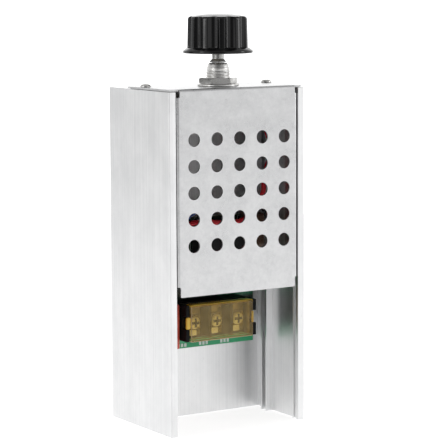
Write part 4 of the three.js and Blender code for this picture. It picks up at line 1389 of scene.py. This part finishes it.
def add_terminals():
    for i in THREE:
        node = f"terminal_clamp_{i}"
        low, high = box_of(node)
        x, _, z = centre = (low + high) / 2
        half = (high[0] - low[0]) / 2
        plate = facing_front(clamp_plate(half, high[1] - low[1]))
        add_piece(f"clamp_plate_{i}", moved(plate, x, high[1], z), node, finish="aged_brass")

        foot = z - half
        tongue = prism(rectangle(x - 3.6, x + 1.6, foot - 2.6, foot + 0.4, 0.5), 0, TONGUE_THICKNESS)
        tongue = moved(facing_front(tongue), y=high[1])
        add_piece(f"clamp_tongue_{i}", tongue, node, finish="yellow_plate", replaces=False)

        screw = add_screw(f"binding_screw_{i}", f"terminal_screw_{i}", POLE_SCREW, finish="yellow_plate")
        # Painted shade in the cross of the head.
        paint_recess_shade(screw, centre, box_of(f"terminal_screw_{i}")[0][1])
    add_shield()


def paint_recess_shade(screw, centre, top):
    """Paints shade inside a screw's cross: the faces there take a black finish. top is the depth of its
    highest point.
    """
    screw.data.materials.append(FINISHES["epoxy"])
    for face in screw.data.polygons:
        x, y, z = face.center / MM
        inside = math.hypot(x - centre[0], z - centre[2]) < 0.8 * POLE_SCREW.head_radius
        sunk = y - top > 0.25 and (abs(face.normal.y) < 0.75 or y - top > 0.5)
        face.material_index = int(inside and sunk and y - top < POLE_SCREW.head_height * 0.9)


def add_shield():
    """A shallow tray of clear plastic with soft corners, open at the back, and a clip tab at each end."""
    low, high = box_of("terminal_shield")
    front = low[1]
    inner_half = SHIELD_HALF - SHIELD_WALL
    outer = rectangle(-SHIELD_HALF, SHIELD_HALF, low[2], high[2], 1.0, 5)
    inner = rectangle(-inner_half, inner_half, low[2] + SHIELD_WALL, high[2] - SHIELD_WALL, 0.5, 5)
    rings = []
    for turn in np.radians(np.linspace(90, 0, 6)):
        inward, depth = SHIELD_ROUND * (1 - math.cos(turn)), SHIELD_ROUND * (1 - math.sin(turn))
        rings.append((inset(outer, inward), depth))
    rings += [
        (outer, SHIELD_SKIRT - 0.15), (inset(outer, 0.15), SHIELD_SKIRT), (inner, SHIELD_SKIRT),
        (inner, SHIELD_WALL + 0.4), (inset(inner, 0.15), SHIELD_WALL + 0.1),
        (inset(inner, 0.5), SHIELD_WALL),
    ]
    tray = facing_front(skin([ring_at(outline, -depth) for outline, depth in rings]))
    shield = add_piece("amber_shield", moved(tray, y=front), "terminal_shield")
    # Painted light: the top wall and its edges take the copy with a painted glow, the other rims the copy
    # painted duller as shade.
    shield.data.materials.append(FINISHES["amber_lit_edge"])
    shield.data.materials.append(FINISHES["amber_shaded_rim"])
    rim = (high[2] - SHIELD_WALL - 0.2) * MM
    for face in shield.data.polygons:
        broad = max(abs(face.normal.y), abs(face.normal.x)) > 0.95
        face.material_index = 0 if broad else 1 if face.center.z > rim else 2

    tabs = []
    for x0, x1 in ((low[0], -SHIELD_HALF - 0.02), (SHIELD_HALF + 0.02, SHIELD_HALF + 0.7)):
        tabs.append(block((x0, front + 0.5, TAB_BOTTOM), (x1, front + 1.9, TAB_TOP), 0.4, cells=6))
    # The clips take the painted glow as well.
    add_piece("shield_clips", merged(*tabs), "terminal_shield", finish="amber_lit_edge", replaces=False)


# Leads from the potentiometer to the board, along the CAD model's routes

LUG_X = 19.0
LEADS = {                    # the potentiometer's lug, the lead's radius and its route
    "blue": (1, 0.8, [
        (15.5, -17, 150), (15.5, -17, 125), (12, -15, 113), (-6, -13.5, 112), (-15.5, -10.5, 108.5),
        (-17.8, -4, 101.5),
    ]),
    "red": (2, 1.3, [
        (22.5, -11.2, 159), (29.5, -11, 149), (31.3, -11, 137), (27.8, -11.2, 125), (27.2, -11, 117.5),
        (22.6, -10.4, 108), (16, -9.4, 103.6), (4, -9, 102.9), (-5, -8.6, 103.8), (-13.2, -4.6, 103),
    ]),
    "black": (3, 0.8, [
        (22.5, -4.6, 158), (23.5, -4, 148), (23.5, -4, 122), (18, -3.6, 113.5), (2, -3, 110.5),
        (-7.5, -1.2, 104.5),
    ]),
}
LEAD_ENDS = (0.6, 0.85, 0.97)  # shares of the radius over the first and last points


def add_leads():
    front = board_front()
    for colour, (lug, radius, route) in LEADS.items():
        low, high = box_of(f"pot_lug_{lug}")
        y = (low[1] + high[1]) / 2
        z = low[2] - 0.3
        x_pad, z_pad = PADS[colour]
        start = (LUG_X, y, z), (LUG_X, y, z - 4)
        end = (x_pad, front - 4, z_pad), (x_pad, front - 0.6, z_pad)
        path = smooth_route([*start, *route, *end])
        radii = np.full(len(path), radius)
        radii[:3] *= LEAD_ENDS
        radii[-3:] *= LEAD_ENDS[::-1]
        add_piece(f"{colour}_lead", tube(path, radii), f"pot_wire_{colour}")


# CAD nodes that stay as they are, with broken edges and their finish

EDGES = {"terminal_body": 0.3, "pot_wafer": 0.15, "pot_wiper": 0.15, "triac_pad": 0.05}
PLAIN_EDGE = 0.12


def dress_cad_nodes():
    for name, node in frame["nodes"].items():
        if node.hide_render:
            continue
        for slot in node.material_slots:
            slot.material = FINISHES["aged_brass" if name.startswith("terminal_lug") else SLOT_OF[name]]
        flat = node.modifiers.new("whole_faces", "DECIMATE")
        flat.decimate_type = "DISSOLVE"
        flat.angle_limit = math.radians(1)
        break_edges(node, EDGES.get(name, PLAIN_EDGE))
        flatten_light(node)


add_camera()
add_stage()
FINISHES = make_finishes()
add_housing()
add_cover()
add_cover_screws()
add_bush()
add_washer()
add_nut()
add_can()
add_shaft()
add_knob()
add_knob_metal()
add_board()
add_board_parts()
add_triac()
add_terminals()
add_leads()
dress_cad_nodes()
